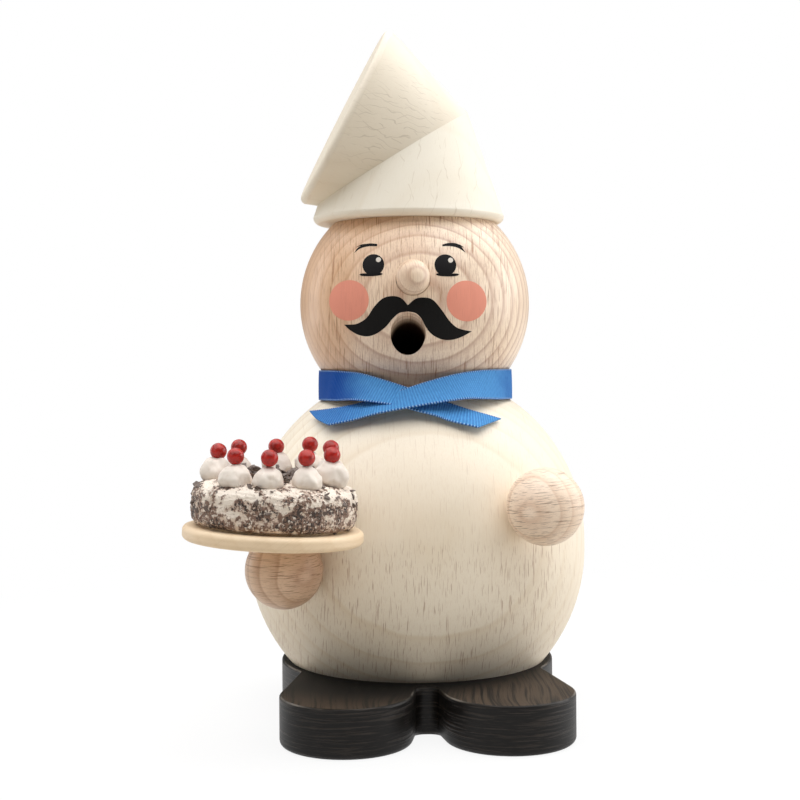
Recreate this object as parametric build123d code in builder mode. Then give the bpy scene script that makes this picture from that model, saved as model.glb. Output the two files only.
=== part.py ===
"""Incense smoker: a round pastry cook turned from wood, holding a cake on a plate.

Millimetres, +Z up. The origin is the middle of the shoe plate's underside, on the
axis of the body ball. The cook faces -Y, and the cake is on the -X side.
The cook lifts off the shoe plate, which carries the dish for the incense cone.
"""

import os
from math import cos, pi, radians, sin, sqrt

from build123d import *

os.makedirs("parts", exist_ok=True)

# Shared fits
cut_overrun = 2.0
glue_clearance = 0.1
lift_clearance = 0.3
soft_clearance = 0.25

# Shoe plate: a round heel with two toes in front
shoe_thickness = 9.0
heel_diameter = 55.4
toe_radius = 12.2
toe_spacing = 29.8
toe_reach = 33.0
instep_radius = 12.0
instep_spacing = 22.0
instep_reach = 12.0
web_reach = 29.5
notch_round = 1.8
shoe_top_round = 0.5
shoe_bottom_round = 1.0
shoe_turn = 2.8

# Plug on the shoe plate, over which the cook is set
plug_height = 10.0
plug_lead_in = 1.5
plug_dowel_diameter = 6.0
plug_dowel_depth = 4.0

# Brass dish and its tack
dish_diameter = 24.0
dish_floor_diameter = 19.0
dish_height = 3.2
dish_sheet = 0.5
dish_recess = 1.0
tack_head_diameter = 4.4
tack_head_height = 0.9
tack_head_round = 0.7
tack_shank_diameter = 1.6
tack_shank_length = 2.8

# Body ball, two half balls with a short straight belt between them, and its smoke chamber
body_diameter = 68.8
body_belt_height = 1.8
foot_flat_diameter = 52.4
foot_ring_width = 6.9
neck_flat_diameter = 31.7
neck_wall = 10.6
chamber_roof_height = 6.0
smoke_passage_diameter = 9.0
air_hole_diameter = 6.0
air_hole_height = 25.0

# Head ball
head_diameter = 47.0
crown_flat_diameter = 33.3
head_passage_depth = 8.0
neck_dowel_diameter = 4.0
neck_dowel_depth = 6.0
neck_dowel_spacing = 19.0

# Face: places on the head ball, seen from the front, above or beside its centre
mouth_diameter = 6.7
mouth_side = -1.5
mouth_drop = 6.3
mouth_slope = 20.0
nose_diameter = 6.4
nose_side = -0.5
nose_rise = 4.1
nose_shoulder = 1.7
nose_depth = 6.0

# Cap: two equal wedges cut from a turned cone and glued face to face
cap_rim_diameter = 39.2
cap_rim_round = 1.3
cap_wall_slope = 18.8
cap_cone_height = 27.0
cap_side = -1.1
cap_cut_height = 15.3
cap_cut_slope = 31.6
cap_cut_turn = 9.1
cap_dowel_diameter = 6.0
cap_dowel_depth = 6.5
cap_joint_dowel_diameter = 5.0
cap_joint_dowel_depth = 5.5

# Ribbon round the neck, crossed in front, with two tails on the belly
ribbon_width = 6.0
ribbon_thickness = 0.4
ribbon_rise = 1.0
ribbon_gap = 0.1
ribbon_dip = 3.2
ribbon_dip_width = 24.0
cross_side = -1.5
cross_drop = 2.5
tail_show = 3.7
left_tail_reach = 17.0
left_tail_drop = 3.9
left_tail_slant = 3.5
right_tail_reach = 15.4
right_tail_drop = 4.1
right_tail_slant = 4.8

# Hands: turned balls on the belly, by bearing from straight ahead and by elevation
hand_diameter = 14.3
hand_sink = 0.5
plate_hand_bearing = -36.7
plate_hand_elevation = -2.4
free_hand_bearing = 35.7
free_hand_elevation = 13.3
hand_dowel_diameter = 4.0
hand_dowel_depth_in_hand = 5.0
hand_dowel_depth_in_body = 8.0

# Serving plate, tipped towards the belly, beside which it just passes
serving_diameter = 31.6
serving_thickness = 2.5
serving_edge_round = 0.9
serving_swing = 6.66
serving_belly_clearance = 0.74
serving_hand_flat_depth = 0.45
serving_tip = 3.2
serving_pin_diameter = 2.5
serving_pin_depth = 4.0

# Cake
cake_rim_show = 1.7
cake_belly_bulge = 0.6
cake_shoulder_draw = 0.6
cake_coat_thickness = 1.3
cake_height = 8.5
cake_shoulder_round = 1.2
rosette_count = 9
rosette_gap = 0.49
rosette_height = 3.6
rosette_tip_diameter = 2.2
rosette_turn = -137.0
berry_diameter = 3.1
berry_sink = 0.45
crumb_count = 12
crumb_field_margin = 1.25
crumb_length = 1.9
crumb_width = 1.0
crumb_height = 0.55
crumb_turn = 137.5
crumb_first_share = 0.5

# Radii and heights that follow from the sizes above
body_radius = body_diameter / 2
head_radius = head_diameter / 2
hand_radius = hand_diameter / 2
chamber_diameter = foot_flat_diameter - 2 * foot_ring_width
plug_diameter = chamber_diameter - 2 * lift_clearance
body_belt_foot_height = shoe_thickness + sqrt(body_radius**2 - (foot_flat_diameter / 2) ** 2)
body_centre_height = body_belt_foot_height + body_belt_height
neck_height = body_centre_height + sqrt(body_radius**2 - (neck_flat_diameter / 2) ** 2)
head_centre_height = neck_height + sqrt(head_radius**2 - (neck_flat_diameter / 2) ** 2)
crown_height = head_centre_height + sqrt(head_radius**2 - (crown_flat_diameter / 2) ** 2)
chamber_roof = neck_height - neck_wall
chamber_top = chamber_roof - chamber_roof_height
plug_top = shoe_thickness + plug_height
dish_floor_height = plug_top - dish_recess
dish_flare = (dish_diameter - dish_floor_diameter) / 2
cap_wall_lean = sin(radians(cap_wall_slope)) / cos(radians(cap_wall_slope))
cap_rim_radius = cap_rim_diameter / 2
ribbon_middle = neck_height + ribbon_rise
ribbon_foot = ribbon_middle - ribbon_width / 2
ribbon_top = ribbon_foot + ribbon_width
ribbon_body_reach = sqrt(body_radius**2 - (ribbon_foot - body_centre_height) ** 2)
ribbon_head_reach = sqrt(head_radius**2 - (head_centre_height - ribbon_top) ** 2)
ribbon_inside = max(ribbon_body_reach, ribbon_head_reach) + ribbon_gap
tail_inside = body_radius + soft_clearance
serving_reach = body_radius + serving_belly_clearance + serving_diameter / 2
cake_foot_diameter = serving_diameter - 2 * cake_rim_show
cake_belly_diameter = cake_foot_diameter + 2 * cake_belly_bulge
cake_shoulder_diameter = cake_foot_diameter - 2 * cake_shoulder_draw
cake_core_diameter = cake_foot_diameter - 2 * cake_coat_thickness
cake_core_height = cake_height - cake_coat_thickness
rosette_spread = sin(pi / rosette_count)
rosette_diameter = (cake_shoulder_diameter * rosette_spread - rosette_gap) / (1 + rosette_spread)
rosette_ring_diameter = cake_shoulder_diameter - rosette_diameter
berry_height = rosette_height + berry_diameter / 2 - berry_sink
crumb_field_diameter = rosette_ring_diameter - rosette_diameter - 2 * crumb_field_margin


def direction(bearing, elevation):
    """Unit vector at a bearing from straight ahead (-Y, + to the viewer's right) and an elevation."""
    level = cos(radians(elevation))
    return Vector(level * sin(radians(bearing)), -level * cos(radians(bearing)), sin(radians(elevation)))


def on_head(side, rise):
    """Point of the head ball's front at a distance beside and above its centre."""
    depth = sqrt(head_radius**2 - side**2 - rise**2)
    return Vector(side, -depth, head_centre_height + rise)


def hand_plane(bearing, elevation):
    """Plane at a hand's centre, looking away from the body ball."""
    outward = direction(bearing, elevation)
    body_centre = Vector(0, 0, body_centre_height)
    return Plane(origin=body_centre + outward * (body_radius + hand_radius - hand_sink), z_dir=outward)


# Planes that several pieces share
shoe_plane = Plane.XY.rotated((0, 0, shoe_turn))
mouth_outward = direction(0, mouth_slope)
mouth_plane = Plane(origin=on_head(mouth_side, -mouth_drop), z_dir=mouth_outward)
nose_point = on_head(nose_side, nose_rise)
nose_plane = Plane(origin=nose_point, z_dir=nose_point - Vector(0, 0, head_centre_height))
cap_cut_normal = Vector(
    -sin(radians(cap_cut_slope)) * cos(radians(cap_cut_turn)),
    -sin(radians(cap_cut_slope)) * sin(radians(cap_cut_turn)),
    cos(radians(cap_cut_slope)),
)
cap_cut_plane = Plane(origin=(cap_side, 0, crown_height + cap_cut_height), z_dir=cap_cut_normal)
plate_hand_plane = hand_plane(plate_hand_bearing, plate_hand_elevation)
free_hand_plane = hand_plane(free_hand_bearing, free_hand_elevation)
serving_normal = Vector(sin(radians(serving_tip)), 0, cos(radians(serving_tip)))
serving_level = Vector(cos(radians(serving_tip)), 0, -sin(radians(serving_tip)))
serving_seat = Vector(0, 0, plate_hand_plane.origin.Z + hand_radius - serving_hand_flat_depth)
serving_centre = serving_seat + serving_reach * direction(plate_hand_bearing + serving_swing, 0)
serving_plane = Plane(origin=serving_centre, x_dir=serving_level, z_dir=serving_normal)
cake_plane = serving_plane.offset(serving_thickness)
cake_top_plane = cake_plane.offset(cake_height)
pin_foot = serving_plane.to_local_coords(plate_hand_plane.origin)
pin_plane = Plane(
    origin=serving_plane.from_local_coords((pin_foot.X, pin_foot.Y, -serving_pin_depth)), z_dir=serving_normal
)


# Shoe plate
with BuildSketch() as one_shoe:
    with Locations((toe_spacing / 2, -toe_reach)):
        Circle(toe_radius)
    with Locations((instep_spacing / 2, -instep_reach)):
        Circle(instep_radius)
    make_hull()

with BuildPart() as shoe_plate:
    with BuildSketch(shoe_plane):
        Circle(heel_diameter / 2)
        add(one_shoe.sketch)
        mirror(one_shoe.sketch, about=Plane.YZ)
        Rectangle(toe_spacing, web_reach, align=(Align.CENTER, Align.MAX))
        offset(amount=notch_round, mode=Mode.REPLACE)
        offset(amount=-notch_round, mode=Mode.REPLACE)
    extrude(amount=shoe_thickness)
    fillet(shoe_plate.faces().sort_by(Axis.Z)[-1].edges(), shoe_top_round)
    fillet(shoe_plate.faces().sort_by(Axis.Z)[0].edges(), shoe_bottom_round)
    with Locations((0, 0, shoe_thickness)):
        Hole(plug_dowel_diameter / 2 + glue_clearance, depth=plug_dowel_depth + glue_clearance)
shoe_plate.part.label = "shoe_plate"
export_step(shoe_plate.part, "parts/shoe_plate.step")

# Turned plug glued on the shoe plate
with BuildPart() as locating_plug:
    with BuildSketch(Plane.XY.offset(shoe_thickness)):
        Circle(plug_diameter / 2)
    extrude(amount=plug_height)
    chamfer(locating_plug.faces().sort_by(Axis.Z)[-1].edges(), plug_lead_in)
    with BuildSketch(Plane.XY.offset(dish_floor_height)):
        Circle(dish_floor_diameter / 2 + dish_flare * dish_recess / dish_height + glue_clearance)
    extrude(amount=dish_recess, mode=Mode.SUBTRACT)
    with BuildSketch(Plane.XY.offset(dish_floor_height)):
        Circle(tack_shank_diameter / 2)
    extrude(amount=-tack_shank_length, mode=Mode.SUBTRACT)
    with BuildSketch(Plane.XY.offset(shoe_thickness)):
        Circle(plug_dowel_diameter / 2 + glue_clearance)
    extrude(amount=plug_dowel_depth + glue_clearance, mode=Mode.SUBTRACT)
locating_plug.part.label = "locating_plug"
export_step(locating_plug.part, "parts/locating_plug.step")

# Dowel between the shoe plate and the plug
with BuildPart() as plug_dowel:
    with BuildSketch(Plane.XY.offset(shoe_thickness - plug_dowel_depth)):
        Circle(plug_dowel_diameter / 2)
    extrude(amount=2 * plug_dowel_depth)
plug_dowel.part.label = "plug_dowel"
export_step(plug_dowel.part, "parts/plug_dowel.step")

# Pressed dish for the incense cone
with BuildPart() as incense_dish:
    with BuildSketch(Plane.XZ):
        with BuildLine():
            Polyline(
                (tack_shank_diameter / 2, dish_floor_height),
                (dish_floor_diameter / 2, dish_floor_height),
                (dish_diameter / 2, dish_floor_height + dish_height),
                (dish_diameter / 2 - dish_sheet, dish_floor_height + dish_height),
                (dish_floor_diameter / 2 - dish_sheet, dish_floor_height + dish_sheet),
                (tack_shank_diameter / 2, dish_floor_height + dish_sheet),
                close=True,
            )
        make_face()
    revolve(axis=Axis.Z)
incense_dish.part.label = "incense_dish"
export_step(incense_dish.part, "parts/incense_dish.step")

# Tack that holds the dish down
with BuildPart() as dish_tack:
    with BuildSketch(Plane.XY.offset(dish_floor_height + dish_sheet)):
        Circle(tack_head_diameter / 2)
    extrude(amount=tack_head_height)
    fillet(dish_tack.faces().sort_by(Axis.Z)[-1].edges(), tack_head_round)
    with BuildSketch(Plane.XY.offset(dish_floor_height + dish_sheet)):
        Circle(tack_shank_diameter / 2)
    extrude(amount=-(dish_sheet + tack_shank_length))
dish_tack.part.label = "dish_tack"
export_step(dish_tack.part, "parts/dish_tack.step")


# Body ball, hollowed from below
with BuildPart() as body_ball:
    with BuildSketch(Plane.XZ):
        with Locations((0, body_belt_foot_height), (0, body_centre_height)):
            Circle(body_radius)
        with Locations((0, body_belt_foot_height)):
            Rectangle(body_diameter, body_belt_height, align=(Align.CENTER, Align.MIN))
        with Locations((0, shoe_thickness)):
            Rectangle(
                body_diameter,
                neck_height - shoe_thickness,
                align=(Align.MIN, Align.MIN),
                mode=Mode.INTERSECT,
            )
        with BuildLine():
            Polyline(
                (0, shoe_thickness),
                (chamber_diameter / 2, shoe_thickness),
                (chamber_diameter / 2, chamber_top),
                (smoke_passage_diameter / 2, chamber_roof),
                (smoke_passage_diameter / 2, neck_height),
                (0, neck_height),
                close=True,
            )
        make_face(mode=Mode.SUBTRACT)
    revolve(axis=Axis.Z)
    with BuildSketch(Plane.XY.offset(neck_height)):
        with GridLocations(neck_dowel_spacing, 0, 2, 1):
            Circle(neck_dowel_diameter / 2 + glue_clearance)
    extrude(amount=-(neck_dowel_depth + glue_clearance), mode=Mode.SUBTRACT)
    with BuildSketch(Plane.XZ):
        with Locations((0, air_hole_height)):
            Circle(air_hole_diameter / 2)
    extrude(amount=-body_diameter, mode=Mode.SUBTRACT)
    for socket in (plate_hand_plane, free_hand_plane):
        with BuildSketch(socket.offset(-(hand_radius + hand_dowel_depth_in_body + glue_clearance))):
            Circle(hand_dowel_diameter / 2 + glue_clearance)
        extrude(amount=hand_dowel_depth_in_body + hand_radius, mode=Mode.SUBTRACT)
body_ball.part.label = "body_ball"
export_step(body_ball.part, "parts/body_ball.step")

# Head ball with the smoke's way to the mouth
with BuildPart() as head_ball:
    with BuildSketch(Plane.XZ):
        with Locations((0, head_centre_height)):
            Circle(head_radius)
        with Locations((0, neck_height)):
            Rectangle(
                head_diameter,
                crown_height - neck_height,
                align=(Align.MIN, Align.MIN),
                mode=Mode.INTERSECT,
            )
    revolve(axis=Axis.Z)
    with BuildSketch(Plane.XY.offset(neck_height)):
        Circle(smoke_passage_diameter / 2)
    extrude(amount=head_passage_depth, mode=Mode.SUBTRACT)
    with BuildSketch(mouth_plane.offset(cut_overrun)):
        Circle(mouth_diameter / 2)
    extrude(amount=-(head_radius + cut_overrun), mode=Mode.SUBTRACT)
    with BuildSketch(nose_plane.offset(-nose_depth)):
        Circle(nose_diameter / 2 + glue_clearance)
    extrude(amount=nose_depth + cut_overrun, mode=Mode.SUBTRACT)
    with BuildSketch(Plane.XY.offset(neck_height)):
        with GridLocations(neck_dowel_spacing, 0, 2, 1):
            Circle(neck_dowel_diameter / 2 + glue_clearance)
    extrude(amount=neck_dowel_depth + glue_clearance, mode=Mode.SUBTRACT)
    with BuildSketch(Plane.XY.offset(crown_height)):
        with Locations((cap_side, 0)):
            Circle(cap_dowel_diameter / 2 + glue_clearance)
    extrude(amount=-(cap_dowel_depth + glue_clearance), mode=Mode.SUBTRACT)
head_ball.part.label = "head_ball"
export_step(head_ball.part, "parts/head_ball.step")

# Two dowels that pin the head on the body, one on each side of the smoke passage
with BuildPart() as neck_dowels:
    with BuildSketch(Plane.XY.offset(neck_height - neck_dowel_depth)):
        with GridLocations(neck_dowel_spacing, 0, 2, 1):
            Circle(neck_dowel_diameter / 2)
    extrude(amount=2 * neck_dowel_depth)
neck_dowels.part.label = "neck_dowels"
export_step(neck_dowels.part, "parts/neck_dowels.step")

# Nose peg with a round end
with BuildPart(nose_plane.offset(-nose_depth)) as nose_peg:
    Cylinder(
        nose_diameter / 2, nose_depth + nose_shoulder, align=(Align.CENTER, Align.CENTER, Align.MIN)
    )
    with Locations((0, 0, nose_depth + nose_shoulder)):
        Sphere(nose_diameter / 2)
nose_peg.part.label = "nose_peg"
export_step(nose_peg.part, "parts/nose_peg.step")


# One wedge of the cap, as cut from the turned cone
with BuildPart() as cap_wedge:
    with BuildSketch(Plane.XZ.shift_origin((cap_side, 0, crown_height))):
        with BuildLine():
            Line((0, 0), (cap_rim_radius - cap_rim_round, 0))
            CenterArc((cap_rim_radius - cap_rim_round, cap_rim_round), cap_rim_round, -90, 90)
            Polyline(
                (cap_rim_radius, cap_rim_round),
                (cap_rim_radius - cap_wall_lean * (cap_cone_height - cap_rim_round), cap_cone_height),
                (0, cap_cone_height),
                (0, 0),
            )
        make_face()
    revolve(axis=Axis((cap_side, 0, 0), (0, 0, 1)))
    split(bisect_by=cap_cut_plane, keep=Keep.BOTTOM)

# Lower wedge, glued on the head
with BuildPart() as cap_lower:
    add(cap_wedge.part)
    with BuildSketch(Plane.XY.offset(crown_height)):
        with Locations((cap_side, 0)):
            Circle(cap_dowel_diameter / 2 + glue_clearance)
    extrude(amount=cap_dowel_depth + glue_clearance, mode=Mode.SUBTRACT)
    with BuildSketch(cap_cut_plane):
        Circle(cap_joint_dowel_diameter / 2 + glue_clearance)
    extrude(amount=-(cap_joint_dowel_depth + glue_clearance), mode=Mode.SUBTRACT)
cap_lower.part.label = "cap_lower"
export_step(cap_lower.part, "parts/cap_lower.step")

# Upper wedge: the same piece turned over on the cut
with BuildPart() as cap_upper:
    mirror(cap_wedge.part, about=cap_cut_plane)
    with BuildSketch(cap_cut_plane):
        Circle(cap_joint_dowel_diameter / 2 + glue_clearance)
    extrude(amount=cap_joint_dowel_depth + glue_clearance, mode=Mode.SUBTRACT)
cap_upper.part.label = "cap_upper"
export_step(cap_upper.part, "parts/cap_upper.step")

# Dowel between head and cap
with BuildPart() as cap_dowel:
    with BuildSketch(Plane.XY.offset(crown_height - cap_dowel_depth)):
        with Locations((cap_side, 0)):
            Circle(cap_dowel_diameter / 2)
    extrude(amount=2 * cap_dowel_depth)
cap_dowel.part.label = "cap_dowel"
export_step(cap_dowel.part, "parts/cap_dowel.step")

# Dowel across the cap's cut
with BuildPart() as cap_joint_dowel:
    with BuildSketch(cap_cut_plane.offset(-cap_joint_dowel_depth)):
        Circle(cap_joint_dowel_diameter / 2)
    extrude(amount=2 * cap_joint_dowel_depth)
cap_joint_dowel.part.label = "cap_joint_dowel"
export_step(cap_joint_dowel.part, "parts/cap_joint_dowel.step")


def tail_outline(reach, drop, slant):
    """Corners of a ribbon tail seen from the front, from the crossing to its slanting end."""
    foot = Vector(cross_side, ribbon_middle - cross_drop)
    end = foot + Vector(reach, -drop)
    half_height = Vector(0, tail_show / 2)
    half_slant = Vector(slant / 2, 0)
    end_slope = half_height + half_slant
    return [foot + half_height, end + end_slope, end - end_slope, foot - half_height]


# Ribbon: a band round the neck, dipping in front, with its tails laid on the body ball
with BuildPart() as neck_ribbon:
    with BuildSketch(Plane.XZ):
        Polygon(*tail_outline(-left_tail_reach, left_tail_drop, -left_tail_slant), align=None)
        Polygon(*tail_outline(right_tail_reach, right_tail_drop, right_tail_slant), align=None)
    extrude(amount=body_radius + cut_overrun)
    with Locations((0, 0, body_centre_height)):
        Sphere(tail_inside + ribbon_thickness, mode=Mode.INTERSECT)
        Sphere(tail_inside, mode=Mode.SUBTRACT)
    with BuildSketch(Plane.XY.offset(ribbon_foot)):
        Circle(ribbon_inside + ribbon_thickness)
    extrude(amount=ribbon_width)
    with BuildSketch(Plane.XY):
        Circle(ribbon_inside)
    extrude(amount=crown_height, mode=Mode.SUBTRACT)
    with BuildSketch(Plane.XZ):
        with BuildLine():
            Polyline(
                (cross_side - ribbon_dip_width / 2, ribbon_top),
                (cross_side, ribbon_top - ribbon_dip),
                (cross_side + ribbon_dip_width / 2, ribbon_top),
                (cross_side + ribbon_dip_width / 2, ribbon_top + cut_overrun),
                (cross_side - ribbon_dip_width / 2, ribbon_top + cut_overrun),
                close=True,
            )
        make_face()
    extrude(amount=body_radius, mode=Mode.SUBTRACT)
neck_ribbon.part.label = "neck_ribbon"
export_step(neck_ribbon.part, "parts/neck_ribbon.step")


def hand(plane):
    """Hand ball with a flat on the belly and a hole for its dowel."""
    with BuildPart(plane) as ball:
        Sphere(hand_radius)
        split(bisect_by=plane.offset(-(hand_radius - hand_sink)), keep=Keep.TOP)
        with BuildSketch(plane.offset(-hand_radius)):
            Circle(hand_dowel_diameter / 2 + glue_clearance)
        extrude(amount=hand_dowel_depth_in_hand + glue_clearance, mode=Mode.SUBTRACT)
    return ball


def hand_dowel(plane):
    """Dowel from a hand ball into the body ball."""
    with BuildPart() as dowel:
        with BuildSketch(plane.offset(-(hand_radius + hand_dowel_depth_in_body))):
            Circle(hand_dowel_diameter / 2)
        extrude(amount=hand_dowel_depth_in_body + hand_dowel_depth_in_hand)
    return dowel


# Hand under the serving plate, with a flat for the plate and a hole for its pin
with BuildPart() as plate_hand:
    add(hand(plate_hand_plane).part)
    split(bisect_by=serving_plane, keep=Keep.BOTTOM)
    with BuildSketch(pin_plane.offset(-glue_clearance)):
        Circle(serving_pin_diameter / 2 + glue_clearance)
    extrude(amount=serving_pin_depth + cut_overrun, mode=Mode.SUBTRACT)
plate_hand.part.label = "plate_hand"
export_step(plate_hand.part, "parts/plate_hand.step")

# Hand without a load
free_hand = hand(free_hand_plane)
free_hand.part.label = "free_hand"
export_step(free_hand.part, "parts/free_hand.step")

plate_hand_dowel = hand_dowel(plate_hand_plane)
plate_hand_dowel.part.label = "plate_hand_dowel"
export_step(plate_hand_dowel.part, "parts/plate_hand_dowel.step")

free_hand_dowel = hand_dowel(free_hand_plane)
free_hand_dowel.part.label = "free_hand_dowel"
export_step(free_hand_dowel.part, "parts/free_hand_dowel.step")


# Serving plate
with BuildPart() as serving_plate:
    with BuildSketch(serving_plane):
        Circle(serving_diameter / 2)
    extrude(amount=serving_thickness)
    fillet(serving_plate.edges().filter_by(GeomType.CIRCLE), serving_edge_round)
    with BuildSketch(pin_plane):
        Circle(serving_pin_diameter / 2 + glue_clearance)
    extrude(amount=serving_pin_depth + serving_thickness, mode=Mode.SUBTRACT)
serving_plate.part.label = "serving_plate"
export_step(serving_plate.part, "parts/serving_plate.step")

# Pin through the serving plate into the hand
with BuildPart() as serving_pin:
    with BuildSketch(pin_plane):
        Circle(serving_pin_diameter / 2)
    extrude(amount=serving_pin_depth + serving_thickness)
serving_pin.part.label = "serving_pin"
export_step(serving_pin.part, "parts/serving_pin.step")

# Wooden core of the cake
with BuildPart() as cake_core:
    with BuildSketch(cake_plane):
        Circle(cake_core_diameter / 2)
    extrude(amount=cake_core_height)
cake_core.part.label = "cake_core"
export_step(cake_core.part, "parts/cake_core.step")

# Coat of cream and chocolate over the core
cake_section = Plane(origin=cake_plane.origin, x_dir=cake_plane.x_dir, z_dir=-cake_plane.y_dir)
with BuildPart() as cake_coat:
    with BuildSketch(cake_section):
        with BuildLine():
            Line((0, 0), (cake_foot_diameter / 2, 0))
            ThreePointArc(
                (cake_foot_diameter / 2, 0),
                (cake_belly_diameter / 2, cake_height / 2),
                (cake_shoulder_diameter / 2, cake_height),
            )
            Polyline((cake_shoulder_diameter / 2, cake_height), (0, cake_height), (0, 0))
        make_face()
    revolve(axis=Axis(cake_plane.origin, cake_plane.z_dir))
    fillet(cake_coat.edges().filter_by(GeomType.CIRCLE).sort_by(Axis.Z)[-1], cake_shoulder_round)
    with BuildSketch(cake_plane):
        Circle(cake_core_diameter / 2)
    extrude(amount=cake_core_height, mode=Mode.SUBTRACT)
cake_coat.part.label = "cake_coat"
export_step(cake_coat.part, "parts/cake_coat.step")

# One dollop of cream, dished for its berry
with BuildPart() as rosette:
    with BuildSketch(Plane.XZ):
        with BuildLine():
            Line((0, 0), (rosette_diameter / 2, 0))
            ThreePointArc(
                (rosette_diameter / 2, 0),
                (rosette_diameter / 2, rosette_height / 3),
                (rosette_tip_diameter / 2, rosette_height),
            )
            Polyline((rosette_tip_diameter / 2, rosette_height), (0, rosette_height), (0, 0))
        make_face()
    revolve(axis=Axis.Z)
    with Locations((0, 0, berry_height)):
        Sphere(berry_diameter / 2, mode=Mode.SUBTRACT)

with BuildPart(cake_top_plane) as cream_rosettes:
    with PolarLocations(rosette_ring_diameter / 2, rosette_count, start_angle=rosette_turn):
        add(rosette.part)
cream_rosettes.part.label = "cream_rosettes"
export_step(cream_rosettes.part, "parts/cream_rosettes.step")

# Berries on the cream
with BuildPart(cake_top_plane.offset(berry_height)) as berries:
    with PolarLocations(rosette_ring_diameter / 2, rosette_count, start_angle=rosette_turn):
        Sphere(berry_diameter / 2)
berries.part.label = "berries"
export_step(berries.part, "parts/berries.step")

# Chocolate crumbs in the middle of the cake, spread evenly by the golden angle
with BuildPart(cake_top_plane) as chocolate_crumbs:
    for number in range(crumb_count):
        reach = crumb_field_diameter / 2 * sqrt((number + crumb_first_share) / crumb_count)
        with PolarLocations(reach, 1, start_angle=number * crumb_turn):
            Box(crumb_length, crumb_width, crumb_height, align=(Align.CENTER, Align.CENTER, Align.MIN))
chocolate_crumbs.part.label = "chocolate_crumbs"
export_step(chocolate_crumbs.part, "parts/chocolate_crumbs.step")
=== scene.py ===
"""Looks of a turned wooden incense smoker: a round pastry cook who carries a cake on a plate.

Metres, +Z up. The cook faces -Y and the cake is on the -X side. The wooden pieces keep the shape
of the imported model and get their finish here. The ribbon, the painted face and the cake are
modelled here. Sizes inside the classes are in millimetres, as a workshop gives them.
"""

import logging
import math
from dataclasses import dataclass, replace
from enum import Enum
from typing import Any, ClassVar, Iterable, Mapping, Optional, Sequence, Union

import bmesh
import bpy
from mathutils import Matrix, Vector


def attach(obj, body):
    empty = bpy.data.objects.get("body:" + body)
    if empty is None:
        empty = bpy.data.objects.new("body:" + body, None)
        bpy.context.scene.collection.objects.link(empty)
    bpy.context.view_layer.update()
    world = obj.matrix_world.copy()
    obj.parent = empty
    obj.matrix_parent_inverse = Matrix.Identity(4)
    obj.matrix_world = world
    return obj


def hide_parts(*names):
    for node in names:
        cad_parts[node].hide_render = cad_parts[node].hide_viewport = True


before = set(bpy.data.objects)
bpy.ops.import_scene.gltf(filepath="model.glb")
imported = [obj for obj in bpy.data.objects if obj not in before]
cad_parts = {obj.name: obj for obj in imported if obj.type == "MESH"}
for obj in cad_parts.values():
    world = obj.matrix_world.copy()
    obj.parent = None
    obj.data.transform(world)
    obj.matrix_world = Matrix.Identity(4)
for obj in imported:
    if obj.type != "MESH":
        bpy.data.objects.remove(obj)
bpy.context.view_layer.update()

log = logging.getLogger("smoker")

MM = 0.001
PER_METRE = 1000.0
MM_PER_UV_UNIT = 100.0
FULL_TURN = 2 * math.pi
SHARP_ANGLE = math.radians(50)
SAME_PLACE = 1e-7
NO_LENGTH = 1e-8
UP = (0.0, 0.0, 1.0)

Triple = tuple[float, float, float]
Point = tuple[float, float]
Span = tuple[float, float]
Box = tuple[Triple, Triple]


def srgb(red: int, green: int, blue: int) -> Triple:
    """Colour as a screen shows it, from 0 to 255, as linear light.

    Args:
        red: Red part.
        green: Green part.
        blue: Blue part.

    Returns:
        The three parts in linear light, from 0 to 1.
    """
    parts = [value / 255 for value in (red, green, blue)]
    return tuple(part / 12.92 if part < 0.04045 else ((part + 0.055) / 1.055) ** 2.4 for part in parts)


class Field:
    """Socket of a node tree that takes part in Python expressions."""

    def __init__(self, tree: "Tree", socket: bpy.types.NodeSocket) -> None:
        """Keeps the tree and its socket."""
        self.tree = tree
        self.socket = socket

    def out(self, name: Union[str, int]) -> "Field":
        """Another output of the same node."""
        return Field(self.tree, self.socket.node.outputs[name])

    def __add__(self, other: "Value") -> "Field":
        """Sum."""
        return self.tree.maths("ADD", self, other)

    def __radd__(self, other: "Value") -> "Field":
        """Sum, with the number first."""
        return self.tree.maths("ADD", other, self)

    def __sub__(self, other: "Value") -> "Field":
        """Difference."""
        return self.tree.maths("SUBTRACT", self, other)

    def __rsub__(self, other: "Value") -> "Field":
        """Difference, with the number first."""
        return self.tree.maths("SUBTRACT", other, self)

    def __mul__(self, other: "Value") -> "Field":
        """Product."""
        return self.tree.maths("MULTIPLY", self, other)

    def __rmul__(self, other: "Value") -> "Field":
        """Product, with the number first."""
        return self.tree.maths("MULTIPLY", other, self)

    def __truediv__(self, other: "Value") -> "Field":
        """Quotient."""
        return self.tree.maths("DIVIDE", self, other)

    def __rtruediv__(self, other: "Value") -> "Field":
        """Quotient, with the number first."""
        return self.tree.maths("DIVIDE", other, self)

    def __abs__(self) -> "Field":
        """Size without its sign."""
        return self.tree.maths("ABSOLUTE", self)


Value = Union[Field, float]


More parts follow.
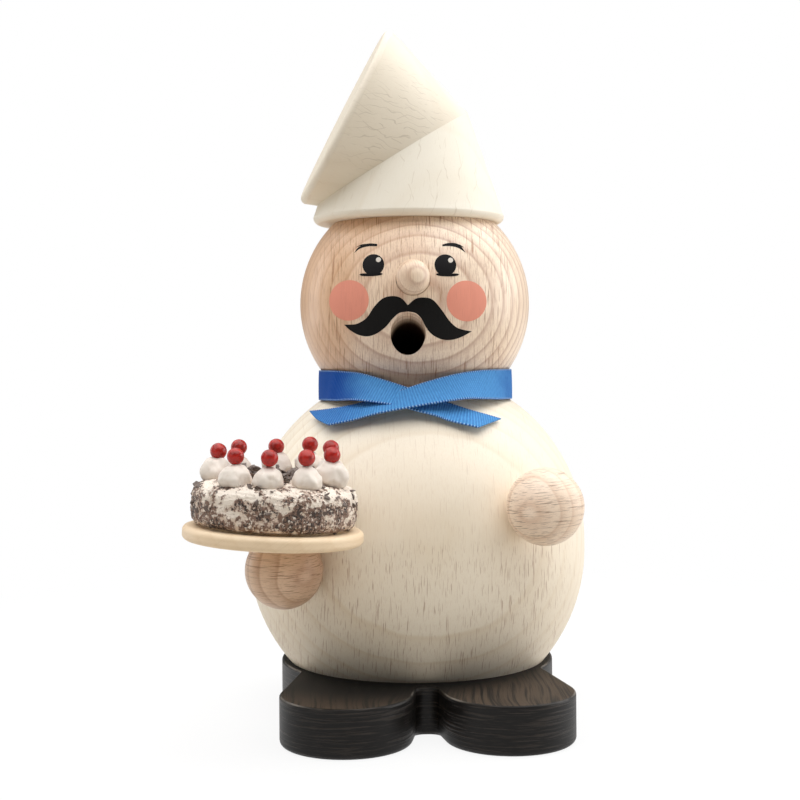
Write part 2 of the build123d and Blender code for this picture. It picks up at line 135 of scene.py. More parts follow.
class Tree:
    """Node tree of a finish or of a shape, with one method that makes any node."""

    def __init__(self, tree: bpy.types.NodeTree) -> None:
        """Empties the tree and keeps it."""
        self.tree = tree
        self.tree.nodes.clear()

    def node(
        self,
        kind: str,
        settings: Optional[Mapping[str, Any]] = None,
        inputs: Optional[Mapping[Union[int, str], Any]] = None,
        output: Union[int, str] = 0,
    ) -> Field:
        """Makes a node, sets it up and fills its sockets.

        Args:
            kind: Type of the node.
            settings: Properties set first; "stops" gives a ramp's places and grey levels.
            inputs: Sockets by number or name, each with a value or a field to link.
            output: Output to give back.

        Returns:
            The node's output as a field, or its first input where it has no output.
        """
        made = self.tree.nodes.new(kind)
        for name, value in (settings or {}).items():
            if name == "stops":
                self._set_stops(made.color_ramp, value)
            else:
                setattr(made, name, value)
        for name, value in (inputs or {}).items():
            socket = made.inputs[name]
            if isinstance(value, Field):
                self.tree.links.new(value.socket, socket)
            elif socket.type == "RGBA":
                socket.default_value = (*value, 1.0)
            else:
                socket.default_value = value
        return Field(self, made.outputs[output] if len(made.outputs) else made.inputs[0])

    @staticmethod
    def _set_stops(ramp: bpy.types.ColorRamp, stops: Sequence[Span]) -> None:
        """Gives a ramp its stops.

        Args:
            ramp: The ramp.
            stops: Place and grey level of each stop.
        """
        while len(ramp.elements) < len(stops):
            ramp.elements.new(1.0)
        for element, (place, level) in zip(ramp.elements, stops):
            element.position = place
            element.color = (level, level, level, 1.0)

    def maths(self, operation: str, *values: Value) -> Field:
        """Result of a Math node on the values."""
        return self.node("ShaderNodeMath", {"operation": operation}, dict(enumerate(values)))

    def step(self, value: Value, low: float, high: float) -> Field:
        """Smooth step from 0 at low to 1 at high."""
        settings = {"interpolation_type": "SMOOTHSTEP"}
        return self.node("ShaderNodeMapRange", settings, {"Value": value, "From Min": low, "From Max": high})

    def vector(self, x: Value, y: Value, z: Value) -> Field:
        """Vector of three values."""
        return self.node("ShaderNodeCombineXYZ", inputs={0: x, 1: y, 2: z})

    def split(self, vector: Field) -> tuple[Field, Field, Field]:
        """Three parts of a vector."""
        parts = self.node("ShaderNodeSeparateXYZ", inputs={0: vector})
        return parts, parts.out(1), parts.out(2)

    def rays(self, *kinds: str) -> Field:
        """Mask of the light's path.

        Args:
            kinds: Outputs of the Light Path node.

        Returns:
            A mask that is 1 for these kinds of ray.
        """
        path = self.node("ShaderNodeLightPath")
        mask = path.out(kinds[0])
        for kind in kinds[1:]:
            mask = self.maths("MAXIMUM", mask, path.out(kind))
        return mask

    def mix(self, share: Value, first: Any, second: Any, blend: str = "MIX") -> Field:
        """Colour mixed from two, with a share of the second."""
        settings = {"data_type": "RGBA", "blend_type": blend, "clamp_factor": True}
        return self.node("ShaderNodeMix", settings, {0: share, 6: first, 7: second}, output=2)

    def layered(self, colour: Any, *layers: tuple[Value, Any]) -> Field:
        """Colour under layers.

        Args:
            colour: The lowest colour.
            layers: Share and colour of each layer over it.

        Returns:
            What is seen of them.
        """
        for share, cover in layers:
            colour = self.mix(share, colour, cover)
        return colour


@dataclass(frozen=True)
class Mottle:
    """Soft random pattern: features per millimetre along three ways, and the place where it starts.

    As a mask it shows where its level passes through its span, with its strength.
    """

    pitch: Triple
    start: Triple = (0.0, 0.0, 0.0)
    detail: float = 1.0
    roughness: float = 0.5
    span: Span = (0.0, 1.0)
    strength: float = 1.0

    def over(self, tree: Tree, x: Value, y: Value = 0.0, z: Value = 0.0) -> Field:
        """Lays the pattern.

        Args:
            tree: Tree that it is part of.
            x: Distance along the first way in millimetres.
            y: Distance along the second way.
            z: Distance along the third way.

        Returns:
            A level from 0 to 1, about 0.5.
        """
        spots = []
        for value, pitch, start in zip((x, y, z), self.pitch, self.start):
            spots.append(value * pitch + start if start else value * pitch)
        looks = {"Scale": 1.0, "Detail": self.detail, "Roughness": self.roughness}
        return tree.node("ShaderNodeTexNoise", inputs={"Vector": tree.vector(*spots), **looks})

    def mask(self, tree: Tree, *place: Value) -> Field:
        """The pattern as a mask."""
        return tree.step(self.over(tree, *place), *self.span) * self.strength


class Finish(Tree):
    """Material under construction."""

    def __init__(self, name: str) -> None:
        """Makes an empty material of that name."""
        self.material = bpy.data.materials.new(name)
        self.material.use_nodes = True
        super().__init__(self.material.node_tree)

    def place(self, middle: Triple = (0.0, 0.0, 0.0)) -> Field:
        """Place on the object in millimetres, from a middle point."""
        spot = self.node("ShaderNodeTexCoord", output="Object")
        settings = {"operation": "MULTIPLY_ADD"}
        shift = tuple(-value for value in middle)
        return self.node("ShaderNodeVectorMath", settings, {0: spot, 1: (PER_METRE,) * 3, 2: shift})

    def dot(self, place: Field, axis: Sequence[float]) -> Field:
        """Distance of a place along an axis."""
        inputs = {0: place, 1: tuple(axis)}
        return self.node("ShaderNodeVectorMath", {"operation": "DOT_PRODUCT"}, inputs, output="Value")

    def height(self) -> Field:
        """Height over the table in millimetres."""
        return self.dot(self.place(), UP)

    def length(self, place: Field) -> Field:
        """Distance of a place from its middle."""
        return self.node("ShaderNodeVectorMath", {"operation": "LENGTH"}, {0: place}, output="Value")

    def finish(
        self,
        colour: Any,
        roughness: Value,
        relief: Field,
        depth: float,
        **constants: float,
    ) -> bpy.types.Material:
        """Ends the material in a Principled shader.

        Args:
            colour: Base colour.
            roughness: Roughness, fixed or a field.
            relief: Relief from 0 to 1 for the bump.
            depth: Depth of the relief in millimetres.
            constants: Other sockets of the shader, with underscores for spaces.

        Returns:
            The material.
        """
        looks = {"Strength": 1.0, "Distance": depth * MM, "Height": relief}
        bump = self.node("ShaderNodeBump", inputs=looks)
        inputs = {"Base Color": colour, "Roughness": roughness, "Normal": bump}
        for name, value in constants.items():
            inputs[name.replace("_", " ")] = value
        shader = self.node("ShaderNodeBsdfPrincipled", inputs=inputs)
        self.node("ShaderNodeOutputMaterial", inputs={"Surface": shader})
        return self.material


@dataclass(frozen=True)
class Grain:
    """How a blank of wood lies in a piece: its middle in mm, its fibres' way and its rings' way."""

    middle: Triple
    fibres: Triple = UP
    rings: Triple = (0.0, -1.0, 0.0)

    def axes(self) -> tuple[Vector, Vector, Vector]:
        """Unit vectors across the fibres, through the rings and along the fibres."""
        along = Vector(self.fibres).normalized()
        through = Vector(self.rings)
        through = (through - along * through.dot(along)).normalized()
        return along.cross(through), through, along

    def ways(self, tree: Finish) -> tuple[Field, ...]:
        """Distances from the blank's middle: across the fibres, through the rings, along the fibres."""
        place = tree.place(self.middle)
        return tuple(tree.dot(place, axis) for axis in self.axes())


@dataclass(frozen=True)
class SootAndShade:
    """Smoke stain, partly painted shade, inside a ball's bores: from the reach where the wood is clean to the
    reach where it is black.
    """

    middle: Triple
    clean: float
    black: float
    colour: Triple = srgb(38, 21, 13)

    def mask(self, tree: Finish) -> Field:
        """Share of smoke stain and painted shade at each place."""
        return tree.step(tree.length(tree.place(self.middle)), self.clean, self.black)


@dataclass(frozen=True)
class TurnedWood:
    """Finish of beech or maple turned on a lathe: rings, rays, fibres and a satin surface.

    The flecks are the cut ends of the rays. They fade above calm_height and beyond calm_side from the
    blank's middle plane. The shade colour lies in random patches of tone, pushed by a slant that is
    painted shade on the side away from the light. Below a given height, where one is set, the wood is
    darkened towards the under colour: painted shade low on the piece, over some darker wood.
    """

    early: Triple
    late: Triple
    fleck: Triple
    shade: Triple
    ring_width: float = 3.4
    ring_curve: float = 60.0
    ring_wobble: float = 2.2
    ring_strength: float = 0.5
    fleck_strength: float = 0.75
    fleck_level: float = 0.6
    fleck_length: float = 3.6
    fleck_width: float = 0.18
    calm_height: float = 1000.0
    calm_side: float = 1000.0
    # Painted shade: slant per millimetre that pushes the shade colour towards the side away from the light.
    painted_shade_slant: Triple = (0.0, 0.0, 0.0)
    # Colour of the painted shade low on the piece, over some darker wood, and the height below which it lies.
    under: Triple = (0.0, 0.0, 0.0)
    low_shade_height: float = 0.0
    fibre_strength: float = 0.25
    shade_strength: float = 0.5
    roughness: float = 0.42
    relief: float = 0.03

    WOBBLE: ClassVar[Mottle] = Mottle((0.06, 0.06, 0.025), detail=2.0)
    UNEVEN: ClassVar[Mottle] = Mottle((0.21, 0.0, 0.0), start=(0.0, 3.7, 1.3))
    UNEVEN_RINGS: ClassVar[float] = 1.6
    RING_STOPS: ClassVar[tuple[Span, ...]] = (
        (0.0, 0.75), (0.07, 0.05), (0.45, 0.12), (0.8, 0.5), (0.95, 1.0), (1.0, 0.75),
    )
    FLECK_DEPTH: ClassVar[float] = 0.07
    FLECK_EDGE: ClassVar[Span] = (0.0, 0.07)
    SHORT_DEPTH: ClassVar[float] = 0.12
    SHORT_START: ClassVar[float] = 40.0
    SHORT_EDGE: ClassVar[Span] = (0.02, 0.08)
    SHORT_WIDTH: ClassVar[float] = 0.6
    SHORT_LENGTH: ClassVar[float] = 0.42
    SHORT_STRENGTH: ClassVar[float] = 0.6
    CALM_DEPTH: ClassVar[float] = 3.0
    CALM_ABOVE: ClassVar[float] = 0.7
    CALM_START: ClassVar[float] = 0.7
    CALM_BESIDE: ClassVar[float] = 0.85
    FIBRES: ClassVar[Mottle] = Mottle(
        (4.5, 4.5, 0.16), start=(0.0, 9.0, 0.0), detail=2.0, roughness=0.6, span=(0.4, 0.75)
    )
    PATCHES: ClassVar[Mottle] = Mottle(
        (0.035, 0.035, 0.022), start=(0.0, 5.0, 0.0), detail=2.0, span=(0.35, 0.68)
    )
    # Rise and strength of the painted shade low on the piece.
    LOW_SHADE_RISE: ClassVar[float] = 6.5
    LOW_SHADE_STRENGTH: ClassVar[float] = 0.55

    def _rings(self, tree: Finish, ways: Sequence[Field]) -> Field:
        """Yearly rings as a level from early to late wood, bowed and uneven in width.

        Args:
            tree: Material under construction.
            ways: Distances across the fibres, through the rings and along the fibres.

        Returns:
            The level.
        """
        across, through, _ = ways
        wobble = (self.WOBBLE.over(tree, *ways) - 0.5) * (2 * self.ring_wobble)
        reach = through + across * across / (2 * self.ring_curve) + wobble
        uneven = self.UNEVEN.over(tree, reach) * (self.UNEVEN_RINGS * self.ring_width)
        phase = tree.maths("FRACT", (reach + uneven) / self.ring_width)
        return tree.node("ShaderNodeValToRGB", {"stops": self.RING_STOPS}, {0: phase})

    def _flecks(self, tree: Finish, ways: Sequence[Field]) -> Field:
        """Long flecks and the short ones between them.

        Args:
            tree: Material under construction.
            ways: Distances across the fibres, through the rings and along the fibres.

        Returns:
            A mask.
        """
        width, length = self.fleck_width, self.fleck_length
        long = Mottle((1 / width, self.FLECK_DEPTH, 1 / length))
        short = Mottle(
            (1 / (self.SHORT_WIDTH * width), self.SHORT_DEPTH, 1 / (self.SHORT_LENGTH * length)),
            start=(0.0, self.SHORT_START, 0.0),
        )
        marks = []
        for kind, edge in ((long, self.FLECK_EDGE), (short, self.SHORT_EDGE)):
            marks.append(tree.step(kind.over(tree, *ways), *(self.fleck_level + part for part in edge)))
        mask = tree.maths("MAXIMUM", marks[0], marks[1] * self.SHORT_STRENGTH)
        above = tree.step(tree.height(), self.calm_height - self.CALM_DEPTH, self.calm_height)
        beside = tree.step(abs(ways[0]), self.CALM_START * self.calm_side, self.calm_side)
        return mask * (1.0 - above * self.CALM_ABOVE) * (1.0 - beside * self.CALM_BESIDE)

    def pattern(self, tree: Finish, grain: Grain) -> tuple[Field, Field]:
        """Lays the figure of the wood.

        Args:
            tree: Material under construction.
            grain: How the blank lies.

        Returns:
            The colour and the relief.
        """
        ways = grain.ways(tree)
        rings = self._rings(tree, ways)
        marks = self._flecks(tree, ways)
        fibres = self.FIBRES.over(tree, *ways)
        # Random patches of tone, slanted by painted shade towards the side away from the light.
        patch = self.PATCHES.over(tree, *ways) + tree.dot(tree.place(grain.middle), self.painted_shade_slant)
        colour = tree.layered(
            self.early,
            (rings * self.ring_strength, self.late),
            (tree.step(patch, *self.PATCHES.span) * self.shade_strength, self.shade),
            (tree.step(fibres, *self.FIBRES.span) * self.fibre_strength, self.late),
            (marks * self.fleck_strength, self.fleck),
        )
        # Painted shade low on the piece, over some darker wood.
        if self.low_shade_height:
            low_shade = 1.0 - tree.step(tree.height(), self.low_shade_height, self.low_shade_height + self.LOW_SHADE_RISE)
            colour = tree.mix(low_shade * self.LOW_SHADE_STRENGTH, colour, self.under)
        return colour, fibres * 0.35 + rings * 0.1 - marks * 0.55 + 0.5

    def material(self, piece: str, grain: Grain, soot_and_shade: Optional[SootAndShade] = None) -> bpy.types.Material:
        """Material of one piece.

        Args:
            piece: Name of the piece.
            grain: How its blank lies.
            soot_and_shade: Smoke stain inside it, partly painted shade deep in its bores, if any.

        Returns:
            The material.
        """
        tree = Finish(piece + "_wood")
        colour, relief = self.pattern(tree, grain)
        # Smoke stain, partly painted shade deep in the bores.
        if soot_and_shade:
            colour = tree.mix(soot_and_shade.mask(tree), colour, soot_and_shade.colour)
        return tree.finish(colour, self.roughness, relief, self.relief)


@dataclass(frozen=True)
class WrinkledWood:
    """Bleached maple with a chalky face and thin wandering wrinkles along its fibres.

    Each of the turns gives one family of wrinkles, which leans that much against the fibres. They are
    plain near the middle of their field and faint beyond its reach.
    """

    wood: TurnedWood
    wrinkle: Triple
    strength: float = 0.3
    pitch: float = 1.35
    line_share: float = 0.085
    wander: float = 0.55
    turns: tuple[float, ...] = (0.0, 0.45)
    field_middle: Triple = (-5.0, -12.0, 116.0)
    field_reach: float = 15.0

    SWAY: ClassVar[Mottle] = Mottle((0.3, 0.3, 0.16), detail=2.0)
    SWAY_STEP: ClassVar[float] = 3.0
    BREAKS: ClassVar[Mottle] = Mottle((0.7, 0.7, 0.22), span=(0.47, 0.56))
    BREAK_START: ClassVar[float] = 5.0
    PLAIN_SHARE: ClassVar[float] = 0.5
    FAINT: ClassVar[float] = 0.05
    DEPTH: ClassVar[float] = 0.5

    def _family(self, tree: Finish, number: int, ways: Sequence[Field]) -> Field:
        """One family of wrinkles.

        Args:
            tree: Material under construction.
            number: Number of the family.
            ways: Distances across its wrinkles, through the rings and along its wrinkles.

        Returns:
            A mask.
        """
        sway = replace(self.SWAY, start=(0.0, self.SWAY_STEP * number, 0.0)).over(tree, *ways) - 0.5
        wander = 2 * self.wander / (self.SWAY.pitch[0] * self.pitch)
        phase = tree.maths("FRACT", ways[0] / self.pitch + sway * wander)
        line = 1.0 - tree.step(abs(phase - 0.5), 0.0, self.line_share)
        return line * replace(self.BREAKS, start=(0.0, self.BREAK_START + number, 0.0)).mask(tree, *ways)

    def material(self, piece: str, grain: Grain) -> bpy.types.Material:
        """Material of one wedge of the cap.

        Args:
            piece: Name of the piece.
            grain: How its blank lies.

        Returns:
            The material.
        """
        tree = Finish(piece + "_wood")
        colour, relief = self.wood.pattern(tree, grain)
        across, through, along = grain.ways(tree)
        bare = 1.0
        for number, turn in enumerate(self.turns):
            ways = (across + along * turn, through, along - across * turn)
            bare = (1.0 - self._family(tree, number, ways)) * bare
        away = tree.length(tree.place(self.field_middle))
        near = 1.0 - tree.step(away, self.PLAIN_SHARE * self.field_reach, self.field_reach)
        wrinkles = (1.0 - bare) * (near * (1 - self.FAINT) + self.FAINT)
        colour = tree.mix(wrinkles * self.strength, colour, self.wrinkle)
        return tree.finish(colour, self.wood.roughness, relief - wrinkles * self.DEPTH, self.wood.relief)


@dataclass(frozen=True)
class StainedWood:
    """Black stain on a sawn plate: lines round its edge, stripes on top, and a lighter rim at the top
    edge that is partly bare wood at the corners where the stain wears off and partly a painted highlight.

    The top carries a painted shadow of the body ball: darkest near the axis, fading out further away,
    and reaching further on the side away from the light.
    """

    side: Triple = srgb(15, 12, 10)
    line: Triple = srgb(54, 48, 43)
    top: Triple = srgb(70, 58, 47)
    stripe: Triple = srgb(26, 22, 18)
    # Painted shadow of the body ball on the top: its colour, and where it starts to fade and where it is
    # gone, from the axis.
    under: Triple = srgb(9, 7, 6)
    shadow_inner_reach: float = 29.0
    shadow_outer_reach: float = 44.0
    # Colour of the lighter rim: bare wood where the stain wears off, and partly a painted highlight.
    worn_and_highlight: Triple = srgb(150, 142, 132)
    top_height: float = 9.0
    rim_depth: float = 0.32
    # The painted shadow's reach shifts across the plate, so that it reaches further on the side away from the
    # light.
    shadow_side_shift: Span = (-6.0, 7.0)
    shadow_side_span: Span = (-14.0, 24.0)

    LAYERS: ClassVar[Mottle] = Mottle(
        (0.11, 0.05, 2.3), detail=3.0, roughness=0.6, span=(0.5, 0.66), strength=0.75
    )
    FINE: ClassVar[Mottle] = Mottle((0.3, 0.2, 5.5), start=(0.0, 0.0, 20.0), span=(0.55, 0.7), strength=0.35)
    SWEEP: ClassVar[Mottle] = Mottle((0.05, 0.03, 0.0), start=(0.0, 0.0, 2.0), strength=6.0)
    STRIPES: ClassVar[Mottle] = Mottle(
        (1.7, 0.04, 0.0), start=(0.0, 0.0, 1.0), detail=3.0, roughness=0.65, span=(0.46, 0.62)
    )
    # Mask of the lighter rim, partly bare wood and partly a painted highlight.
    RUBBED_AND_HIGHLIT: ClassVar[Mottle] = Mottle(
        (0.12, 0.12, 0.0), start=(0.0, 0.0, 4.0), detail=3.0, span=(0.45, 0.65), strength=0.6
    )
    TOP_SKIN: ClassVar[Span] = (0.06, 0.01)
    RIM_SKIN: ClassVar[float] = 0.15
    SIDE_ROUGHNESS: ClassVar[float] = 0.44
    TOP_ROUGHNESS: ClassVar[float] = 0.6

    def material(self, piece: str) -> bpy.types.Material:
        """Material of the plate.

        Args:
            piece: Name of the piece.

        Returns:
            The material.
        """
        tree = Finish(piece + "_stain")
        x, y, z = tree.split(tree.place())
        layer = self.LAYERS.over(tree, x, y, z)
        lines = tree.step(layer, *self.LAYERS.span)
        fine = self.FINE.mask(tree, x, y, z)
        side = tree.layered(self.side, (lines * self.LAYERS.strength, self.line), (fine, self.line))
        stripes = self.STRIPES.over(tree, x + self.SWEEP.over(tree, x, y) * self.SWEEP.strength, y)
        # Painted shadow of the body ball on the top, wider on the side away from the light.
        least, most = self.shadow_side_shift
        shift = tree.step(x, *self.shadow_side_span) * (most - least) + least
        beside = tree.length(tree.vector(x, y, 0.0)) + shift
        painted_body_shadow = 1.0 - tree.step(beside, self.shadow_inner_reach, self.shadow_outer_reach)
        striped = tree.step(stripes, *self.STRIPES.span)
        top = tree.layered(self.top, (striped, self.stripe), (painted_body_shadow, self.under))
        on_top = tree.step(z, *(self.top_height - depth for depth in self.TOP_SKIN))
        rim = tree.step(z, self.top_height - self.rim_depth, self.top_height - self.RIM_SKIN)
        # Lighter rim at the top edge: partly bare wood, partly a painted highlight.
        rubbed_and_highlit = rim * (1.0 - on_top) * self.RUBBED_AND_HIGHLIT.mask(tree, x, y)
        colour = tree.layered(side, (on_top, top), (rubbed_and_highlit, self.worn_and_highlight))
        relief = (1.0 - on_top) * (lines + layer) * 0.5 + on_top * stripes
        roughness = on_top * (self.TOP_ROUGHNESS - self.SIDE_ROUGHNESS) + self.SIDE_ROUGHNESS
        return tree.finish(colour, roughness, relief, 0.07, Specular_IOR_Level=0.25)


@dataclass(frozen=True)
class FacePaint:
    """Brushed or printed colour on the head's wood, which it lets through a little."""

    colour: Triple
    cover: float = 1.0
    roughness: float = 0.45

    THIN: ClassVar[Mottle] = Mottle((3.2, 0.0, 0.9), detail=3.0, span=(0.55, 0.8), strength=0.12)

    def material(self, piece: str, wood: TurnedWood, grain: Grain) -> bpy.types.Material:
        """Material of a painted film.

        Args:
            piece: Name of the piece.
            wood: Wood under the paint.
            grain: How its blank lies.

        Returns:
            The material.
        """
        tree = Finish(piece + "_paint")
        under, relief = wood.pattern(tree, grain)
        x, _, z = tree.split(tree.place())
        tinted = tree.mix(1.0, under, self.colour, blend="MULTIPLY")
        colour = tree.mix(self.cover - self.THIN.mask(tree, x, 0.0, z), tinted, self.colour)
        return tree.finish(colour, self.roughness, relief, wood.relief, Specular_IOR_Level=0.12)


@dataclass(frozen=True)
class Satin:
    """Woven satin with fine ribs across and a firm edge along each side.

    A painted sheen lightens it between its darker ends at the left and the right of the neck, and in the
    tails, which hang below tail_height.
    """

    thread: Triple = srgb(10, 66, 152)
    # Lighter colour of the rib tops and of the painted sheen.
    sheen_and_rib_colour: Triple = srgb(96, 168, 226)
    hem: Triple = srgb(10, 56, 140)
    picot: Triple = srgb(170, 208, 240)
    rib_pitch: float = 0.5
    hem_width: float = 0.34
    # Where the painted sheen rises at the left and fades at the right.
    sheen_rise_span: Span = (-15.5, -7.5)
    sheen_fade_span: Span = (15.0, 20.0)
    tail_height: float = 61.2
    # Share of painted sheen in the tails.
    tail_painted_sheen: float = 0.5

    WEAVE: ClassVar[Mottle] = Mottle((5.0, 0.9, 0.0), detail=2.0, span=(0.25, 0.6), strength=0.3)
    STRAY: ClassVar[Mottle] = Mottle((0.2, 0.2, 0.0), start=(0.0, 0.0, 4.0), strength=5.0)
    # How much painted sheen is lost at the right end.
    SHEEN_RIGHT_LOSS: ClassVar[float] = 0.6
    TAIL_BLUR: ClassVar[float] = 1.0
    HEM_BLUR: ClassVar[float] = 0.1
    DOT_SPAN: ClassVar[Span] = (0.55, 0.8)
    # Share of the painted sheen, and the rib contrast outside and inside it.
    PAINTED_SHEEN: ClassVar[float] = 0.55
    RIB_STRENGTH: ClassVar[Span] = (0.1, 0.75)
    HEM_STRENGTH: ClassVar[float] = 0.6
    DOT_STRENGTH: ClassVar[float] = 0.7

    def _painted_sheen(self, tree: Finish, length: Field, level: Field) -> Field:
        """Painted sheen of the ribbon, laid by its place across the neck.

        Args:
            tree: Material under construction.
            length: Distance along the ribbon.
            level: Distance across it.

        Returns:
            Its share at each place.
        """
        stray = (self.STRAY.over(tree, length, level) - 0.5) * self.STRAY.strength
        beside = tree.split(tree.place())[0] + stray
        right = tree.step(beside, *self.sheen_fade_span) * self.SHEEN_RIGHT_LOSS
        shine = tree.step(beside, *self.sheen_rise_span) * (1.0 - right)
        tail = 1.0 - tree.step(tree.height(), self.tail_height - self.TAIL_BLUR, self.tail_height)
        return shine + tail * self.tail_painted_sheen * (1.0 - shine)

    def material(self, piece: str, width: float) -> bpy.types.Material:
        """Material of the ribbon, which reads its length and width from the UV map.

        Args:
            piece: Name of the piece.
            width: Width of the ribbon in millimetres.

        Returns:
            The material.
        """
        tree = Finish(piece + "_satin")
        length, level, _ = (part * MM_PER_UV_UNIT for part in tree.split(tree.node("ShaderNodeUVMap")))
        ribs = tree.maths("SINE", length * (FULL_TURN / self.rib_pitch)) * 0.5 + 0.5
        weave = self.WEAVE.over(tree, length, level)
        # Painted sheen, which also raises the rib contrast.
        shine = self._painted_sheen(tree, length, level)
        inset = tree.maths("MINIMUM", level, width - level)
        hem = 1.0 - tree.step(inset, self.hem_width - self.HEM_BLUR, self.hem_width)
        dots = hem * tree.step(ribs, *self.DOT_SPAN)
        dull, bright = self.RIB_STRENGTH
        colour = tree.layered(
            self.thread,
            # Painted sheen, then ribs that stand out more inside it.
            (shine * self.PAINTED_SHEEN, self.sheen_and_rib_colour),
            (ribs * (shine * (bright - dull) + dull), self.sheen_and_rib_colour),
            ((1.0 - tree.step(weave, *self.WEAVE.span)) * self.WEAVE.strength, self.thread),
            (hem * self.HEM_STRENGTH, self.hem),
            (dots * self.DOT_STRENGTH, self.picot),
        )
        relief = ribs * 0.6 + weave * 0.25 + hem * 0.3
        return tree.finish(colour, hem * 0.1 + 0.5, relief, 0.1, Specular_IOR_Level=0.05)


@dataclass(frozen=True)
class RoughCoat:
    """Cream rubbed over with chocolate: white on top, brown low down, speckled all over, with a painted
    contact shadow where it meets the plate.

    Each colour lies where the sum of a fine pattern, of the patches and of the depth passes its span.
    """

    cream: Triple = srgb(234, 222, 208)
    dust: Triple = srgb(196, 170, 150)
    brown: Triple = srgb(114, 84, 68)
    dark: Triple = srgb(56, 43, 36)
    # Painted contact shadow where the coat meets the plate.
    foot_shadow: Triple = srgb(66, 36, 25)

    PATCH: ClassVar[Mottle] = Mottle((0.34, 0.34, 0.4), start=(3.0, 0.0, 0.0), detail=3.0, roughness=0.6)
    SMALL: ClassVar[Mottle] = Mottle((1.05, 1.05, 0.95), start=(8.0, 0.0, 0.0), detail=3.0, roughness=0.65)
    GRIT: ClassVar[Mottle] = Mottle((2.4, 2.4, 2.1), start=(0.0, 6.0, 0.0), detail=2.0, roughness=0.6)
    SPECKS: ClassVar[Mottle] = Mottle(
        (2.0, 2.0, 1.7), start=(4.0, 0.0, 9.0), detail=2.0, roughness=0.6, span=(0.56, 0.66), strength=0.8
    )
    LOW_START: ClassVar[float] = 1.0
    LOW_SHARE: ClassVar[float] = 0.9
    DUST_SHARES: ClassVar[Triple] = (0.0, 1.0, 0.15)
    DUST_SPAN: ClassVar[Span] = (0.45, 0.6)
    DUST_STRENGTH: ClassVar[float] = 0.75
    BROWN_SHARES: ClassVar[Triple] = (0.8, 0.9, 0.11)
    BROWN_SPAN: ClassVar[Span] = (0.85, 0.94)
    BROWN_STRENGTH: ClassVar[float] = 0.92
    DARK_SHARES: ClassVar[Triple] = (0.8, 0.8, 0.03)
    DARK_SPAN: ClassVar[Span] = (0.85, 0.93)
    # Height over the plate where the painted contact shadow fades out.
    FOOT_SHADOW_SPAN: ClassVar[Span] = (0.15, 0.6)
    ROUGHNESS: ClassVar[float] = 0.62
    RELIEF: ClassVar[float] = 0.22

    def material(self, piece: str, seat: "CakeSeat") -> bpy.types.Material:
        """Material of the coat.

        Args:
            piece: Name of the piece.
            seat: Where the cake stands.

        Returns:
            The material.
        """
        tree = Finish(piece + "_coat")
        place = tree.place(seat.cake_foot())
        ways = [tree.dot(place, axis) for axis in seat.axes()]
        low = 1.0 - tree.step(ways[2], self.LOW_START, seat.cake_height * self.LOW_SHARE)
        patch, small, grit = (kind.over(tree, *ways) for kind in (self.PATCH, self.SMALL, self.GRIT))
        dust = tree.dot(tree.vector(small, patch, low), self.DUST_SHARES)
        brown = tree.dot(tree.vector(small, patch, low), self.BROWN_SHARES)
        dark = tree.dot(tree.vector(grit, patch, low), self.DARK_SHARES)
        colour = tree.layered(
            self.cream,
            (tree.step(dust, *self.DUST_SPAN) * self.DUST_STRENGTH, self.dust),
            (tree.step(brown, *self.BROWN_SPAN) * self.BROWN_STRENGTH, self.brown),
            (tree.step(dark, *self.DARK_SPAN), self.dark),
            (self.SPECKS.mask(tree, *ways), self.cream),
            # Painted contact shadow where the coat meets the plate.
            (1.0 - tree.step(ways[2], *self.FOOT_SHADOW_SPAN), self.foot_shadow),
        )
        return tree.finish(colour, self.ROUGHNESS, small * 0.6 + grit * 0.4, self.RELIEF)


@dataclass(frozen=True)
class SoftPaste:
    """Fine paste with small pits, such as piped cream or broken chocolate."""

    colour: Triple
    hollow: Triple
    grit: float = 2.2
    roughness: float = 0.5
    relief: float = 0.12

    LUMPS: ClassVar[Mottle] = Mottle((0.7, 0.7, 0.7), detail=3.0, span=(0.5, 0.75), strength=0.6)
    PITS: ClassVar[Mottle] = Mottle((1.0, 1.0, 1.0), detail=3.0, span=(0.6, 0.72), strength=0.5)

    def material(self, piece: str) -> bpy.types.Material:
        """Material of a piece of paste.

        Args:
            piece: Name of the piece.

        Returns:
            The material.
        """
        tree = Finish(piece + "_paste")
        place = tree.split(tree.place())
        kinds = (self.LUMPS, replace(self.PITS, pitch=(self.grit,) * 3))
        colour = tree.layered(self.colour, *((kind.mask(tree, *place), self.hollow) for kind in kinds))
        lumps, pits = (kind.over(tree, *place) for kind in kinds)
        return tree.finish(colour, self.roughness, (lumps + pits) * 0.5, self.relief)


@dataclass(frozen=True)
class Lacquer:
    """Clear glossy lacquer over a slightly uneven colour."""

    colour: Triple
    deep: Triple

    CLOUD: ClassVar[Mottle] = Mottle((0.9, 0.9, 0.9), detail=2.0, span=(0.4, 0.7))

    def material(self, piece: str) -> bpy.types.Material:
        """Material of the lacquered pieces.

        Args:
            piece: Name of the pieces.

        Returns:
            The material.
        """
        tree = Finish(piece + "_lacquer")
        cloud = self.CLOUD.over(tree, *tree.split(tree.place()))
        colour = tree.mix(tree.step(cloud, *self.CLOUD.span), self.colour, self.deep)
        shine = {"Coat_Weight": 0.6, "Coat_Roughness": 0.2, "Specular_IOR_Level": 0.15}
        return tree.finish(colour, 0.5, cloud, 0.03, **shine)


